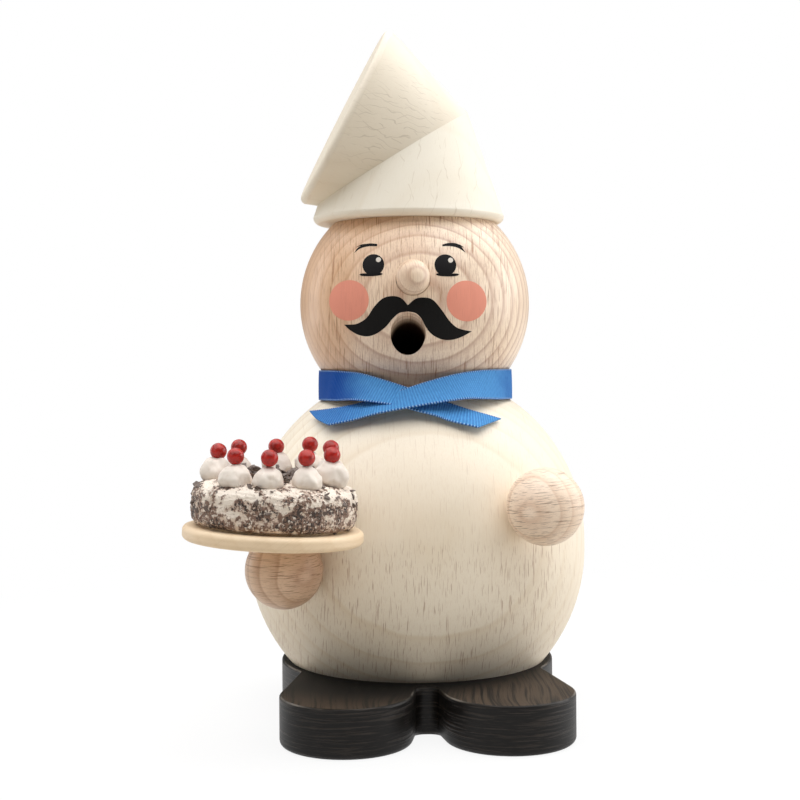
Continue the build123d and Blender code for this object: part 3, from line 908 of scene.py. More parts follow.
@dataclass(frozen=True)
class Metal:
    """Plain metal with fine scratches and a little tarnish."""

    colour: Triple
    roughness: float

    SCRATCHES: ClassVar[Mottle] = Mottle((6.0, 0.8, 6.0), detail=3.0)
    TARNISH: ClassVar[Mottle] = Mottle((0.3, 0.3, 0.3), detail=3.0, span=(0.45, 0.7), strength=0.6)
    DULL: ClassVar[float] = 0.6

    def material(self, piece: str) -> bpy.types.Material:
        """Material of a metal piece.

        Args:
            piece: Name of the piece.

        Returns:
            The material.
        """
        tree = Finish(piece + "_metal")
        place = tree.split(tree.place())
        scratches = self.SCRATCHES.over(tree, *place)
        tarnish = self.TARNISH.over(tree, *place)
        dull = tuple(part * self.DULL for part in self.colour)
        cover = tree.step(tarnish, *self.TARNISH.span) * self.TARNISH.strength
        colour = tree.mix(cover, self.colour, dull)
        return tree.finish(colour, tarnish * 0.2 + self.roughness, scratches, 0.02, Metallic=1.0)


class Wood(Enum):
    """Woods of the smoker."""

    BODY = TurnedWood(
        early=srgb(248, 238, 220), late=srgb(224, 203, 171), fleck=srgb(156, 106, 62),
        shade=srgb(241, 227, 206), ring_curve=80.0, ring_wobble=1.0, ring_strength=0.42,
        fleck_strength=0.5, fleck_level=0.625, fibre_strength=0.16, calm_height=37.5, calm_side=33.0,
        roughness=0.5, relief=0.02,
    )
    # Head: its slant puts painted shade on its left and lower side, away from the light; the under colour is
    # painted shade at the chin over the ribbon, over some darker wood.
    HEAD = TurnedWood(
        early=srgb(251, 231, 207), late=srgb(182, 140, 118), fleck=srgb(156, 98, 54),
        shade=srgb(214, 162, 112), ring_width=1.8, ring_curve=70.0, ring_wobble=0.6, ring_strength=0.62,
        fleck_strength=0.66, fleck_length=4.6, fleck_width=0.15, calm_side=22.5, shade_strength=0.65,
        roughness=0.32, painted_shade_slant=(-0.012, 0.0, -0.002), under=srgb(84, 60, 72), low_shade_height=64.5,
    )
    HAND = TurnedWood(
        early=srgb(253, 233, 212), late=srgb(222, 188, 160), fleck=srgb(128, 84, 54),
        shade=srgb(244, 219, 194), ring_width=2.2, ring_strength=0.7, fleck_length=2.6, fleck_width=0.13,
        fleck_strength=0.6, roughness=0.4,
    )
    # Darker copy of the hand's wood for the hand under the serving plate: painted shade, which its slant
    # deepens on the side towards the body.
    PLATE_SHADED_HAND = replace(
        HAND, early=srgb(228, 198, 170), late=srgb(188, 148, 120), shade=srgb(186, 142, 108),
        painted_shade_slant=(0.02, 0.0, 0.0),
    )
    PLATE = TurnedWood(
        early=srgb(238, 214, 181), late=srgb(228, 199, 161), fleck=srgb(206, 172, 130),
        shade=srgb(234, 207, 171), ring_width=3.6, ring_strength=0.35, fleck_strength=0.15,
        fleck_length=2.2, roughness=0.45,
    )
    RAW = TurnedWood(
        early=srgb(222, 196, 160), late=srgb(198, 166, 128), fleck=srgb(140, 104, 76),
        shade=srgb(210, 180, 144), roughness=0.6,
    )


UPPER_CAP = WrinkledWood(
    wood=TurnedWood(
        early=srgb(233, 223, 205), late=srgb(218, 203, 180), fleck=srgb(200, 182, 156),
        shade=srgb(226, 213, 192), ring_width=6.0, ring_strength=0.35, fleck_strength=0.15,
        fleck_level=0.66, fibre_strength=0.1, roughness=0.55, relief=0.02,
    ),
    wrinkle=srgb(138, 118, 92),
)
LOWER_CAP = replace(
    UPPER_CAP,
    wood=replace(
        UPPER_CAP.wood, early=srgb(242, 235, 220), late=srgb(231, 219, 198), shade=srgb(237, 228, 210)
    ),
    wrinkle=srgb(188, 170, 142), pitch=4.2, line_share=0.032, wander=0.5, field_middle=(6.0, -16.0, 107.0),
)
SHOE_FINISH = StainedWood()
BLACK_PAINT = FacePaint(srgb(17, 16, 15), roughness=0.55)
EYE_PAINT = FacePaint(srgb(19, 17, 18), roughness=0.42)
GLINT_PAINT = FacePaint(srgb(226, 218, 208))
CHEEK_PAINT = FacePaint(srgb(238, 160, 140), cover=0.86, roughness=0.5)
SATIN = Satin()
COAT = RoughCoat()
CREAM = SoftPaste(srgb(231, 221, 210), srgb(214, 199, 184), grit=1.0, relief=0.04)
CHOCOLATE = SoftPaste(srgb(104, 90, 82), srgb(58, 50, 46), grit=3.0)
BERRY = Lacquer(srgb(178, 26, 12), srgb(140, 18, 8))
BRASS = Metal(srgb(214, 176, 104), 0.28)
STEEL = Metal(srgb(180, 180, 182), 0.35)


def dress(material: bpy.types.Material, *nodes: str) -> None:
    """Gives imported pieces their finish.

    Args:
        material: The finish.
        nodes: Names of the pieces.
    """
    for name in nodes:
        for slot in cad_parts[name].material_slots:
            slot.material = material
        log.info("%s wears %s", name, material.name)


def new_piece(
    name: str,
    mesh: bpy.types.Mesh,
    material: bpy.types.Material,
    body: str,
    replaces: Iterable[str] = (),
) -> bpy.types.Object:
    """Puts a finished mesh in the scene as a piece of the object.

    Args:
        name: Name of the piece.
        mesh: Its mesh, in place, in metres.
        material: Its finish.
        body: Body that it rides on.
        replaces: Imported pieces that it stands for.

    Returns:
        The piece.
    """
    mesh.name = name
    mesh.materials.clear()
    mesh.materials.append(material)
    piece = bpy.data.objects.new(name, mesh)
    bpy.context.scene.collection.objects.link(piece)
    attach(piece, body)
    if replaces:
        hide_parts(*replaces)
    log.info("%s: %d faces on %s", name, len(mesh.polygons), body)
    return piece


def closed_mesh(
    name: str,
    points: Sequence[Sequence[float]],
    faces: Sequence[Sequence[int]],
    places: Sequence[Point] = (),
) -> bpy.types.Mesh:
    """Makes a smooth closed mesh from points in millimetres.

    Args:
        name: Name of the mesh.
        points: Corners in millimetres.
        faces: Faces by corner.
        places: Places of the corners on the UV map in millimetres, if it has one.

    Returns:
        The mesh in metres, its doubles merged and its faces pointing out.
    """
    mesh = bpy.data.meshes.new(name)
    mesh.from_pydata([Vector(point) * MM for point in points], [], faces)
    if places:
        layer = mesh.uv_layers.new(name="width")
        for loop in mesh.loops:
            layer.data[loop.index].uv = [part / MM_PER_UV_UNIT for part in places[loop.vertex_index]]
    work = bmesh.new()
    work.from_mesh(mesh)
    bmesh.ops.remove_doubles(work, verts=work.verts, dist=SAME_PLACE)
    bmesh.ops.dissolve_degenerate(work, dist=NO_LENGTH, edges=work.edges)
    bmesh.ops.recalc_face_normals(work, faces=work.faces)
    for face in work.faces:
        face.smooth = True
    for edge in work.edges:
        edge.smooth = edge.calc_face_angle(0.0) < SHARP_ANGLE
    work.to_mesh(mesh)
    work.free()
    return mesh


def film_faces(wide: int, tall: int, closed: bool) -> list[tuple[int, ...]]:
    """Faces of a closed film whose front and back are rows of points.

    Args:
        wide: Points in a row.
        tall: Rows.
        closed: Whether each row comes back to its first point.

    Returns:
        Faces by corner; a back corner follows its front one by the number of points of the front.
    """
    back = wide * tall
    faces = []
    for row in range(tall - 1):
        for column in range(wide - 1):
            corner = row * wide + column
            quad = (corner, corner + 1, corner + wide + 1, corner + wide)
            faces.append(quad)
            faces.append(tuple(back + index for index in reversed(quad)))
    rims = [[(tall - 1) * wide + column for column in range(wide)]]
    if not closed:
        rims.append(list(range(wide)))
        rims += [[row * wide + side for row in range(tall)] for side in (0, wide - 1)]
    for rim in rims:
        faces += [(a, a + back, b + back, b) for a, b in zip(rim, rim[1:])]
    return faces


def smooth_line(points: Sequence[Sequence[float]], steps: int) -> list[Vector]:
    """Smooth curve through points, as a Catmull-Rom spline.

    Args:
        points: Points that it passes.
        steps: Steps from each point to the next.

    Returns:
        Points along the curve.
    """
    knots = [Vector(point) for point in points]
    knots = [2 * knots[0] - knots[1], *knots, 2 * knots[-1] - knots[-2]]
    line = []
    for before, start, end, after in zip(knots, knots[1:], knots[2:], knots[3:]):
        for number in range(steps):
            share = number / steps
            pull = (end - before) * share
            bend = (2 * before - 5 * start + 4 * end - after) * share**2
            twist = (3 * start - before - 3 * end + after) * share**3
            line.append((2 * start + pull + bend + twist) / 2)
    line.append(knots[-2])
    return line


@dataclass
class Base:
    """Shoe plate with the plug, the dish and its tack."""

    plug_grain: Grain = Grain(middle=(0.0, 0.0, 14.0), rings=(1.0, 0.4, 0.0))

    def build(self) -> None:
        """Dresses the pieces that stay on the table."""
        dress(SHOE_FINISH.material("shoe_plate"), "shoe_plate")
        dress(Wood.RAW.value.material("plug", self.plug_grain), "locating_plug", "plug_dowel")
        dress(BRASS.material("dish"), "incense_dish")
        dress(STEEL.material("tack"), "dish_tack")


@dataclass
class Body:
    """Body ball, hand balls and the dowels that hold them."""

    body_grain: Grain = Grain(middle=(0.0, -6.0, 32.8), fibres=(0.0, 0.15, 1.0), rings=(0.07, -1.0, 0.15))
    # Smoke stain in the smoke chamber, partly painted shade deep inside it.
    body_soot_and_shade: SootAndShade = SootAndShade(middle=(0.0, 0.0, 33.09), clean=33.6, black=28.0)
    plate_hand_grain: Grain = Grain((-24.5, -32.9, 31.4), fibres=(0.8, 0.6, 0.03), rings=(0.6, -0.8, 0.0))
    free_hand_grain: Grain = Grain((23.3, -32.4, 42.5), fibres=(0.86, -0.5, 0.1), rings=(-0.5, -0.86, 0.0))
    dowel_grain: Grain = Grain(middle=(0.0, 0.0, 60.0))

    def build(self) -> None:
        """Dresses the body and the hands."""
        dress(Wood.BODY.value.material("body", self.body_grain, self.body_soot_and_shade), "body_ball")
        # The plate hand wears the darker copy: painted shade under the serving plate.
        dress(Wood.PLATE_SHADED_HAND.value.material("plate_hand", self.plate_hand_grain), "plate_hand")
        dress(Wood.HAND.value.material("free_hand", self.free_hand_grain), "free_hand")
        raw = Wood.RAW.value.material("dowels", self.dowel_grain)
        dress(raw, "plate_hand_dowel", "free_hand_dowel", "neck_dowels")


@dataclass
class Cap:
    """Cap of two wedges and the dowels in it."""

    lower_grain: Grain = Grain(middle=(0.0, 0.0, 100.0), fibres=(0.4, 0.1, 1.0), rings=(0.5, -0.8, 0.0))
    upper_grain: Grain = Grain(middle=(3.0, 5.0, 110.0), fibres=(0.9, 0.2, -0.35), rings=(0.3, -0.9, 0.2))
    dowel_grain: Grain = Grain(middle=(0.0, 0.0, 100.0))

    def build(self) -> None:
        """Dresses the cap."""
        dress(LOWER_CAP.material("cap_lower", self.lower_grain), "cap_lower")
        dress(UPPER_CAP.material("cap_upper", self.upper_grain), "cap_upper")
        raw = Wood.RAW.value.material("cap_dowels", self.dowel_grain)
        dress(raw, "cap_dowel", "cap_joint_dowel")


def ruled(top: Sequence[Vector], low: Sequence[Vector], count: int) -> list[list[Vector]]:
    """Rows of points between two edges with as many points, from the upper edge to the lower one."""
    return [[a.lerp(b, row / count) for a, b in zip(top, low)] for row in range(count + 1)]


@dataclass(frozen=True)
class Stroke:
    """Brush stroke on the face, between an upper and a lower edge."""

    top: tuple[Point, ...]
    low: tuple[Point, ...]

    STEPS: ClassVar[int] = 6
    ROWS: ClassVar[int] = 3

    def rows(self) -> list[list[Vector]]:
        """Rows of points over the stroke."""
        return ruled(smooth_line(self.top, self.STEPS), smooth_line(self.low, self.STEPS), self.ROWS)


@dataclass
class Head:
    """Head ball, nose and painted face. Places on the face are beside and above the ball's centre."""

    radius: float = 23.5
    centre: float = 80.97
    film: float = 0.03
    sink: float = 0.12
    grain: Grain = Grain(middle=(0.0, -7.5, 80.0), rings=(0.02, -1.0, -0.08))
    # Smoke stain in the mouth and neck bores, partly painted shade there.
    soot_and_shade: SootAndShade = SootAndShade(middle=(0.0, 0.0, 80.97), clean=22.4, black=18.2)
    nose_grain: Grain = Grain(middle=(-0.5, -20.0, 84.0), rings=(0.3, -1.0, 0.0))
    nose_wood: TurnedWood = replace(Wood.HEAD.value, fleck_strength=0.25, ring_strength=0.5)
    eye_radius: float = 2.08
    eyes: tuple[Point, ...] = ((-8.05, 6.85), (5.7, 6.65))
    glint_offset: Point = (1.0, 0.95)
    glint_radius: float = 0.48
    cheek_radius: float = 3.9
    cheeks: tuple[Point, ...] = ((-12.85, 0.15), (9.75, -0.2))
    lid_half_width: float = 2.25
    lid_drop: float = 1.92
    lid_height: float = 0.55
    lid_sag: float = 0.12
    lid_shifts: tuple[float, ...] = (-0.45, 0.38)
    moustache: tuple[Stroke, Stroke] = (
        Stroke(
            top=(
                (-13.8, -4.5), (-12.5, -4.5), (-11.2, -4.35), (-9.4, -3.3), (-7.9, -1.2), (-6.3, 0.3),
                (-4.5, 0.75), (-2.8, 0.35), (-1.5, -1.0),
            ),
            low=(
                (-13.8, -4.5), (-12.6, -5.6), (-11.0, -6.5), (-9.3, -6.8), (-7.6, -6.35), (-5.8, -5.1),
                (-4.4, -3.5), (-3.1, -2.45), (-1.5, -2.2),
            ),
        ),
        Stroke(
            top=(
                (-1.5, -1.0), (-0.1, 0.15), (1.5, 0.42), (3.2, 0.0), (4.8, -1.8), (6.3, -3.9), (7.7, -5.2),
                (9.1, -5.7), (10.7, -6.0),
            ),
            low=(
                (-1.5, -2.2), (-0.1, -2.5), (1.0, -3.5), (1.9, -5.2), (3.1, -6.6), (4.9, -7.5), (6.8, -7.6),
                (8.7, -7.05), (10.7, -6.0),
            ),
        ),
    )
    brows: tuple[Stroke, ...] = (
        Stroke(
            top=((-11.75, 9.4), (-10.9, 10.5), (-9.0, 11.1), (-7.3, 10.95)),
            low=((-11.75, 9.4), (-10.6, 10.2), (-9.0, 10.55), (-7.3, 10.5)),
        ),
        Stroke(
            top=((5.2, 10.7), (6.7, 11.05), (8.4, 10.75), (9.7, 9.2)),
            low=((5.2, 10.35), (6.7, 10.4), (8.2, 10.1), (9.7, 9.2)),
        ),
    )
    twigs: tuple[Stroke, ...] = (
        Stroke(
            top=((-11.3, 10.55), (-10.3, 11.0), (-9.2, 11.05)),
            low=((-11.3, 10.55), (-10.2, 10.8), (-9.2, 10.8)),
        ),
        Stroke(
            top=((7.2, 10.95), (8.5, 10.75), (9.4, 10.2)),
            low=((7.2, 10.7), (8.4, 10.5), (9.4, 10.2)),
        ),
    )

    MOUSTACHE_STEPS: ClassVar[int] = 5
    MOUSTACHE_ROWS: ClassVar[int] = 10
    LID_STEPS: ClassVar[int] = 16
    LID_ROWS: ClassVar[int] = 3
    DISC_RINGS: ClassVar[int] = 9
    DISC_SECTORS: ClassVar[int] = 48

    def build(self) -> None:
        """Dresses the head and paints its face."""
        dress(Wood.HEAD.value.material("head", self.grain, self.soot_and_shade), "head_ball")
        dress(self.nose_wood.material("nose", self.nose_grain), "nose_peg")
        self._paint("moustache", self._moustache(), BLACK_PAINT, self.film)
        middle, high = 1.5 * self.film, 2 * self.film
        sides = zip(("left", "right"), self.eyes, self.cheeks, self.lid_shifts, self.brows, self.twigs)
        for side, eye, cheek, shift, brow, twig in sides:
            self._paint(side + "_eye", self._disc(eye, self.eye_radius), EYE_PAINT, self.film)
            glint = (eye[0] + self.glint_offset[0], eye[1] + self.glint_offset[1])
            self._paint(side + "_glint", self._disc(glint, self.glint_radius), GLINT_PAINT, high)
            self._paint(side + "_lid", self._lid((eye[0] + shift, eye[1])), BLACK_PAINT, middle)
            self._paint(side + "_brow", brow.rows(), BLACK_PAINT, self.film)
            self._paint(side + "_brow_twig", twig.rows(), BLACK_PAINT, middle)
            self._paint(side + "_cheek", self._disc(cheek, self.cheek_radius), CHEEK_PAINT, self.film)

    def _moustache(self) -> list[list[Vector]]:
        """Rows of points over both halves of the moustache, which meet in a corner."""
        left, right = self.moustache
        steps = self.MOUSTACHE_STEPS
        top = smooth_line(left.top, steps)[:-1] + smooth_line(right.top, steps)
        low = smooth_line(left.low, steps)[:-1] + smooth_line(right.low, steps)
        return ruled(top, low, self.MOUSTACHE_ROWS)

    def _lid(self, eye: Point) -> list[list[Vector]]:
        """Rows of points over the dark bar under an eye.

        Args:
            eye: Middle of the eye.

        Returns:
            The rows, from the upper edge to the lower one.
        """
        middle = Vector((eye[0], eye[1] - self.lid_drop))
        top, low = [], []
        for number in range(self.LID_STEPS + 1):
            share = 2 * number / self.LID_STEPS - 1
            half = self.lid_height / 2 * math.sqrt(max(0.0, 1 - share**4))
            sag = self.lid_sag * share**2
            top.append(middle + Vector((self.lid_half_width * share, half + sag)))
            low.append(middle + Vector((self.lid_half_width * share, sag - half)))
        return ruled(top, low, self.LID_ROWS)

    def _disc(self, middle: Point, radius: float) -> list[list[Vector]]:
        """Rows of points over a round spot.

        Args:
            middle: Its middle.
            radius: Its radius.

        Returns:
            The rows, from the middle to the rim.
        """
        rows = []
        turns = [FULL_TURN * number / self.DISC_SECTORS for number in range(self.DISC_SECTORS + 1)]
        for ring in range(self.DISC_RINGS + 1):
            reach = radius * ring / self.DISC_RINGS
            rows.append([Vector(middle) + Vector((math.cos(turn), math.sin(turn))) * reach for turn in turns])
        return rows

    def _on_ball(self, spot: Vector, reach: float) -> Triple:
        """Point over a spot of the face.

        Args:
            spot: The spot, beside and above the ball's centre.
            reach: Distance of the point from the ball's centre.

        Returns:
            The point.
        """
        depth = math.sqrt(self.radius**2 - spot.x**2 - spot.y**2)
        scale = reach / self.radius
        return spot.x * scale, -depth * scale, self.centre + spot.y * scale

    def _paint(self, name: str, rows: list[list[Vector]], paint: FacePaint, lift: float) -> None:
        """Makes a closed film of paint over rows of spots.

        Args:
            name: Name of the film.
            rows: Rows of spots on the face.
            paint: Its finish.
            lift: Height of its face over the wood, in millimetres.
        """
        reaches = (self.radius + lift, self.radius - self.sink)
        points = [self._on_ball(spot, reach) for reach in reaches for row in rows for spot in row]
        closed = (rows[0][0] - rows[0][-1]).length < NO_LENGTH
        mesh = closed_mesh(name, points, film_faces(len(rows[0]), len(rows), closed))
        material = paint.material(name, Wood.HEAD.value, self.grain)
        new_piece(name + "_paint", mesh, material, "figure")


@dataclass(frozen=True)
class Station:
    """Station of the ribbon: bearing from the front, reach from the axis, height and lean of its width."""

    bearing: float
    reach: float
    height: float
    lean: float

    def top(self) -> Vector:
        """Point on the upper edge."""
        angle = math.radians(self.bearing)
        return Vector((self.reach * math.sin(angle), -self.reach * math.cos(angle), self.height))


@dataclass
class Ribbon:
    """Satin ribbon from its left tail over the crossing, round the neck, and under it to its right tail."""

    width: float = 6.0
    thickness: float = 0.25
    bow: float = 0.06
    left_slant: float = 7.8
    right_slant: float = 5.2
    steps: int = 14
    rows: int = 14
    stations: tuple[Station, ...] = (
        Station(-60.0, 24.3, 59.6, 52), Station(-48.0, 22.9, 60.1, 56), Station(-36.8, 21.9, 60.8, 58),
        Station(-26.0, 21.1, 61.75, 59), Station(-15.0, 20.9, 63.0, 57), Station(-5.0, 20.75, 64.15, 53),
        Station(4.6, 20.5, 65.25, 48), Station(13.6, 20.2, 66.1, 43), Station(24.3, 20.0, 66.9, 36),
        Station(39.0, 19.75, 67.45, 22), Station(58.0, 19.62, 67.6, 9), Station(85.0, 19.6, 67.6, 0),
        Station(130.0, 19.6, 67.55, 0), Station(180.0, 19.6, 67.5, 0), Station(230.0, 19.6, 67.55, 0),
        Station(275.0, 19.6, 67.6, 0), Station(302.0, 19.65, 67.6, 9), Station(314.0, 19.75, 67.45, 17),
        Station(326.5, 19.75, 67.1, 29), Station(339.0, 19.75, 66.05, 42), Station(353.5, 19.65, 64.45, 52),
        Station(365.0, 19.85, 62.85, 57), Station(376.3, 20.4, 61.45, 59), Station(386.5, 21.9, 60.05, 61),
        Station(395.8, 23.4, 58.9, 61), Station(401.6, 24.65, 58.1, 60),
    )

    def build(self) -> None:
        """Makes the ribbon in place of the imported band."""
        mesh = self._mesh()
        material = SATIN.material("ribbon", self.width)
        new_piece("satin_ribbon", mesh, material, "figure", ["neck_ribbon"])

    def _frames(self) -> list[tuple[Vector, Vector, Vector]]:
        """Frames at each step along the ribbon.

        Returns:
            The point on the upper edge, the way down the width and the way out of the face, for each.
        """
        tops = smooth_line([station.top() for station in self.stations], self.steps)
        leans = smooth_line([(station.lean, 0.0) for station in self.stations], self.steps)
        frames = []
        for number, top in enumerate(tops):
            ahead = tops[min(number + 1, len(tops) - 1)] - tops[max(number - 1, 0)]
            ahead.normalize()
            down = -Vector(UP)
            down = (down - ahead * down.dot(ahead)).normalized()
            out = ahead.cross(down)
            if out.x * top.x + out.y * top.y < 0:
                out.negate()
            lean = math.radians(leans[number].x)
            width_way = down * math.cos(lean) + out * math.sin(lean)
            face_way = out * math.cos(lean) - down * math.sin(lean)
            frames.append((top, width_way, face_way))
        return frames

    def _mesh(self) -> bpy.types.Mesh:
        """Lays the ribbon along its frames.

        Returns:
            A closed mesh with a UV map of the ways along and across.
        """
        frames = self._frames()
        lengths = [0.0]
        for (here, _, _), (there, _, _) in zip(frames, frames[1:]):
            lengths.append(lengths[-1] + (there - here).length)
        columns = len(frames)
        points, places = [], []
        for side in (0.5, -0.5):
            for row in range(self.rows + 1):
                share = row / self.rows
                rise = self.bow * 4 * share * (1 - share) + side * self.thickness
                start, end = self.left_slant * share, lengths[-1] - self.right_slant * share
                for column in range(columns):
                    length = start + (end - start) * column / (columns - 1)
                    top, width_way, face_way = self._at(frames, lengths, length)
                    points.append(top + width_way * (self.width * share) + face_way * rise)
                    places.append((length, share * self.width))
        return closed_mesh("ribbon", points, film_faces(columns, self.rows + 1, False), places)

    @staticmethod
    def _at(frames: Sequence[Sequence[Vector]], lengths: Sequence[float], length: float) -> list[Vector]:
        """Frame at a length along the upper edge, between the two nearest.

        Args:
            frames: All frames.
            lengths: Their places along the edge.
            length: The place.

        Returns:
            The frame.
        """
        number = 0
        while number < len(lengths) - 2 and lengths[number + 1] < length:
            number += 1
        share = (length - lengths[number]) / (lengths[number + 1] - lengths[number])
        return [a.lerp(b, share) for a, b in zip(frames[number], frames[number + 1])]


@dataclass(frozen=True)
class CakeSeat:
    """Place and tip of the serving plate, and the cake's main sizes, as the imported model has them."""

    middle: Triple = (-25.505, -44.133, 38.083)
    tip: float = 3.2
    plate_thickness: float = 2.5
    cake_radius: float = 14.4
    cake_height: float = 8.5
    ring_radius: float = 10.25

    def axes(self) -> tuple[Triple, Triple, Triple]:
        """Axes of the plate: to its right, to the back and up."""
        tip = math.radians(self.tip)
        return (math.cos(tip), 0.0, -math.sin(tip)), (0.0, 1.0, 0.0), (math.sin(tip), 0.0, math.cos(tip))

    def lifted(self, height: float) -> Triple:
        """Point at a height over the middle of the plate's underside."""
        return tuple(value + height * part for value, part in zip(self.middle, self.axes()[2]))

    def cake_foot(self) -> Triple:
        """Middle of the cake's underside."""
        return self.lifted(self.plate_thickness)

    def to_frame(self, height: float) -> Matrix:
        """Matrix from a frame at a height over the plate to the object's frame, both in metres."""
        turned = Matrix([list(axis) for axis in self.axes()]).transposed().to_4x4()
        return Matrix.Translation(Vector(self.lifted(height)) * MM) @ turned


class Shape(Tree):
    """Geometry Nodes tree with named inputs, grown once into a plain mesh."""

    def __init__(self, name: str, sizes: Mapping[str, float], points: Sequence[Triple] = ()) -> None:
        """Makes a tree with a float input for each size, and one for points if there are any.

        Args:
            name: Name of the tree.
            sizes: Inputs and their values.
            points: Places in millimetres that the tree starts from.
        """
        self.group = bpy.data.node_groups.new(name, "GeometryNodeTree")
        super().__init__(self.group)
        self.sizes = dict(sizes)
        self.points = points
        self.identifiers = {}
        if points:
            self.group.interface.new_socket("Points", in_out="INPUT", socket_type="NodeSocketGeometry")
        for size in sizes:
            socket = self.group.interface.new_socket(size, in_out="INPUT", socket_type="NodeSocketFloat")
            self.identifiers[size] = socket.identifier
        self.group.interface.new_socket("Geometry", in_out="OUTPUT", socket_type="NodeSocketGeometry")
        self.entry = self.group.nodes.new("NodeGroupInput")

    def size(self, name: str) -> Field:
        """Named input as a field."""
        return Field(self, self.entry.outputs[name])

    def dots(self) -> Field:
        """Points that the tree starts from."""
        return Field(self, self.entry.outputs["Points"])

    def spot(self) -> Field:
        """Place of each point."""
        return self.node("GeometryNodeInputPosition")

    def scaled(self, vector: Field, factor: Value) -> Field:
        """Vector times a factor."""
        return self.node("ShaderNodeVectorMath", {"operation": "SCALE"}, {0: vector, "Scale": factor})

    def placed(self, geometry: Field, position: Field) -> Field:
        """Geometry with its points put elsewhere."""
        return self.node("GeometryNodeSetPosition", inputs={"Geometry": geometry, "Position": position})

    def smoothed(self, geometry: Field) -> Field:
        """Geometry shaded smooth."""
        return self.node("GeometryNodeSetShadeSmooth", inputs={"Geometry": geometry, "Shade Smooth": True})

    def instances(self, points: Field, instance: Field, **inputs: Any) -> Field:
        """Copies of a shape on points."""
        named = {name.replace("_", " "): value for name, value in inputs.items()}
        named.update({"Points": points, "Instance": instance})
        return self.node("GeometryNodeInstanceOnPoints", inputs=named)

    def scattered(self, mesh: Field, per_square: float, seed: int) -> Field:
        """Points strewn over a mesh.

        Args:
            mesh: The mesh.
            per_square: Points in a square millimetre.
            seed: Seed of their places.

        Returns:
            The points.
        """
        settings = {"distribute_method": "RANDOM"}
        inputs = {"Mesh": mesh, "Density": per_square / MM**2, "Seed": seed}
        return self.node("GeometryNodeDistributePointsOnFaces", settings, inputs)

    def chance(self, low: float, high: float, seed: int) -> Field:
        """Random number between two, from a fixed seed."""
        settings = {"data_type": "FLOAT"}
        return self.node("FunctionNodeRandomValue", settings, {2: low, 3: high, "Seed": seed}, output=1)

    def chance_vector(self, low: Triple, high: Triple, seed: int) -> Field:
        """Random vector between two, from a fixed seed."""
        settings = {"data_type": "FLOAT_VECTOR"}
        return self.node("FunctionNodeRandomValue", settings, {0: low, 1: high, "Seed": seed})

    def shifted(self, geometry: Field, offset: Field) -> Field:
        """Geometry with its points moved."""
        return self.node("GeometryNodeSetPosition", inputs={"Geometry": geometry, "Offset": offset})

    def grow(self, geometry: Field, material: bpy.types.Material, place: Matrix) -> bpy.types.Mesh:
        """Ends the tree, evaluates it and gives a plain mesh.

        Args:
            geometry: Result of the tree.
            material: Its finish.
            place: Matrix that puts the mesh in the object's frame.

        Returns:
            The mesh, in place.
        """
        real = self.node("GeometryNodeRealizeInstances", inputs={"Geometry": geometry})
        made = self.node("GeometryNodeSetMaterial", inputs={"Geometry": real, "Material": material})
        leave = self.group.nodes.new("NodeGroupOutput")
        self.group.links.new(made.socket, leave.inputs[0])
        start = bpy.data.meshes.new(self.group.name)
        start.from_pydata([Vector(point) * MM for point in self.points], [], [])
        carrier = bpy.data.objects.new(self.group.name, start)
        bpy.context.scene.collection.objects.link(carrier)
        modifier = carrier.modifiers.new("shape", "NODES")
        modifier.node_group = self.group
        for size, value in self.sizes.items():
            modifier[self.identifiers[size]] = value
        bpy.context.view_layer.update()
        evaluated = carrier.evaluated_get(bpy.context.evaluated_depsgraph_get())
        mesh = bpy.data.meshes.new_from_object(evaluated)
        carrier.modifiers.remove(modifier)
        bpy.data.objects.remove(carrier)
        mesh.transform(place)
        return mesh


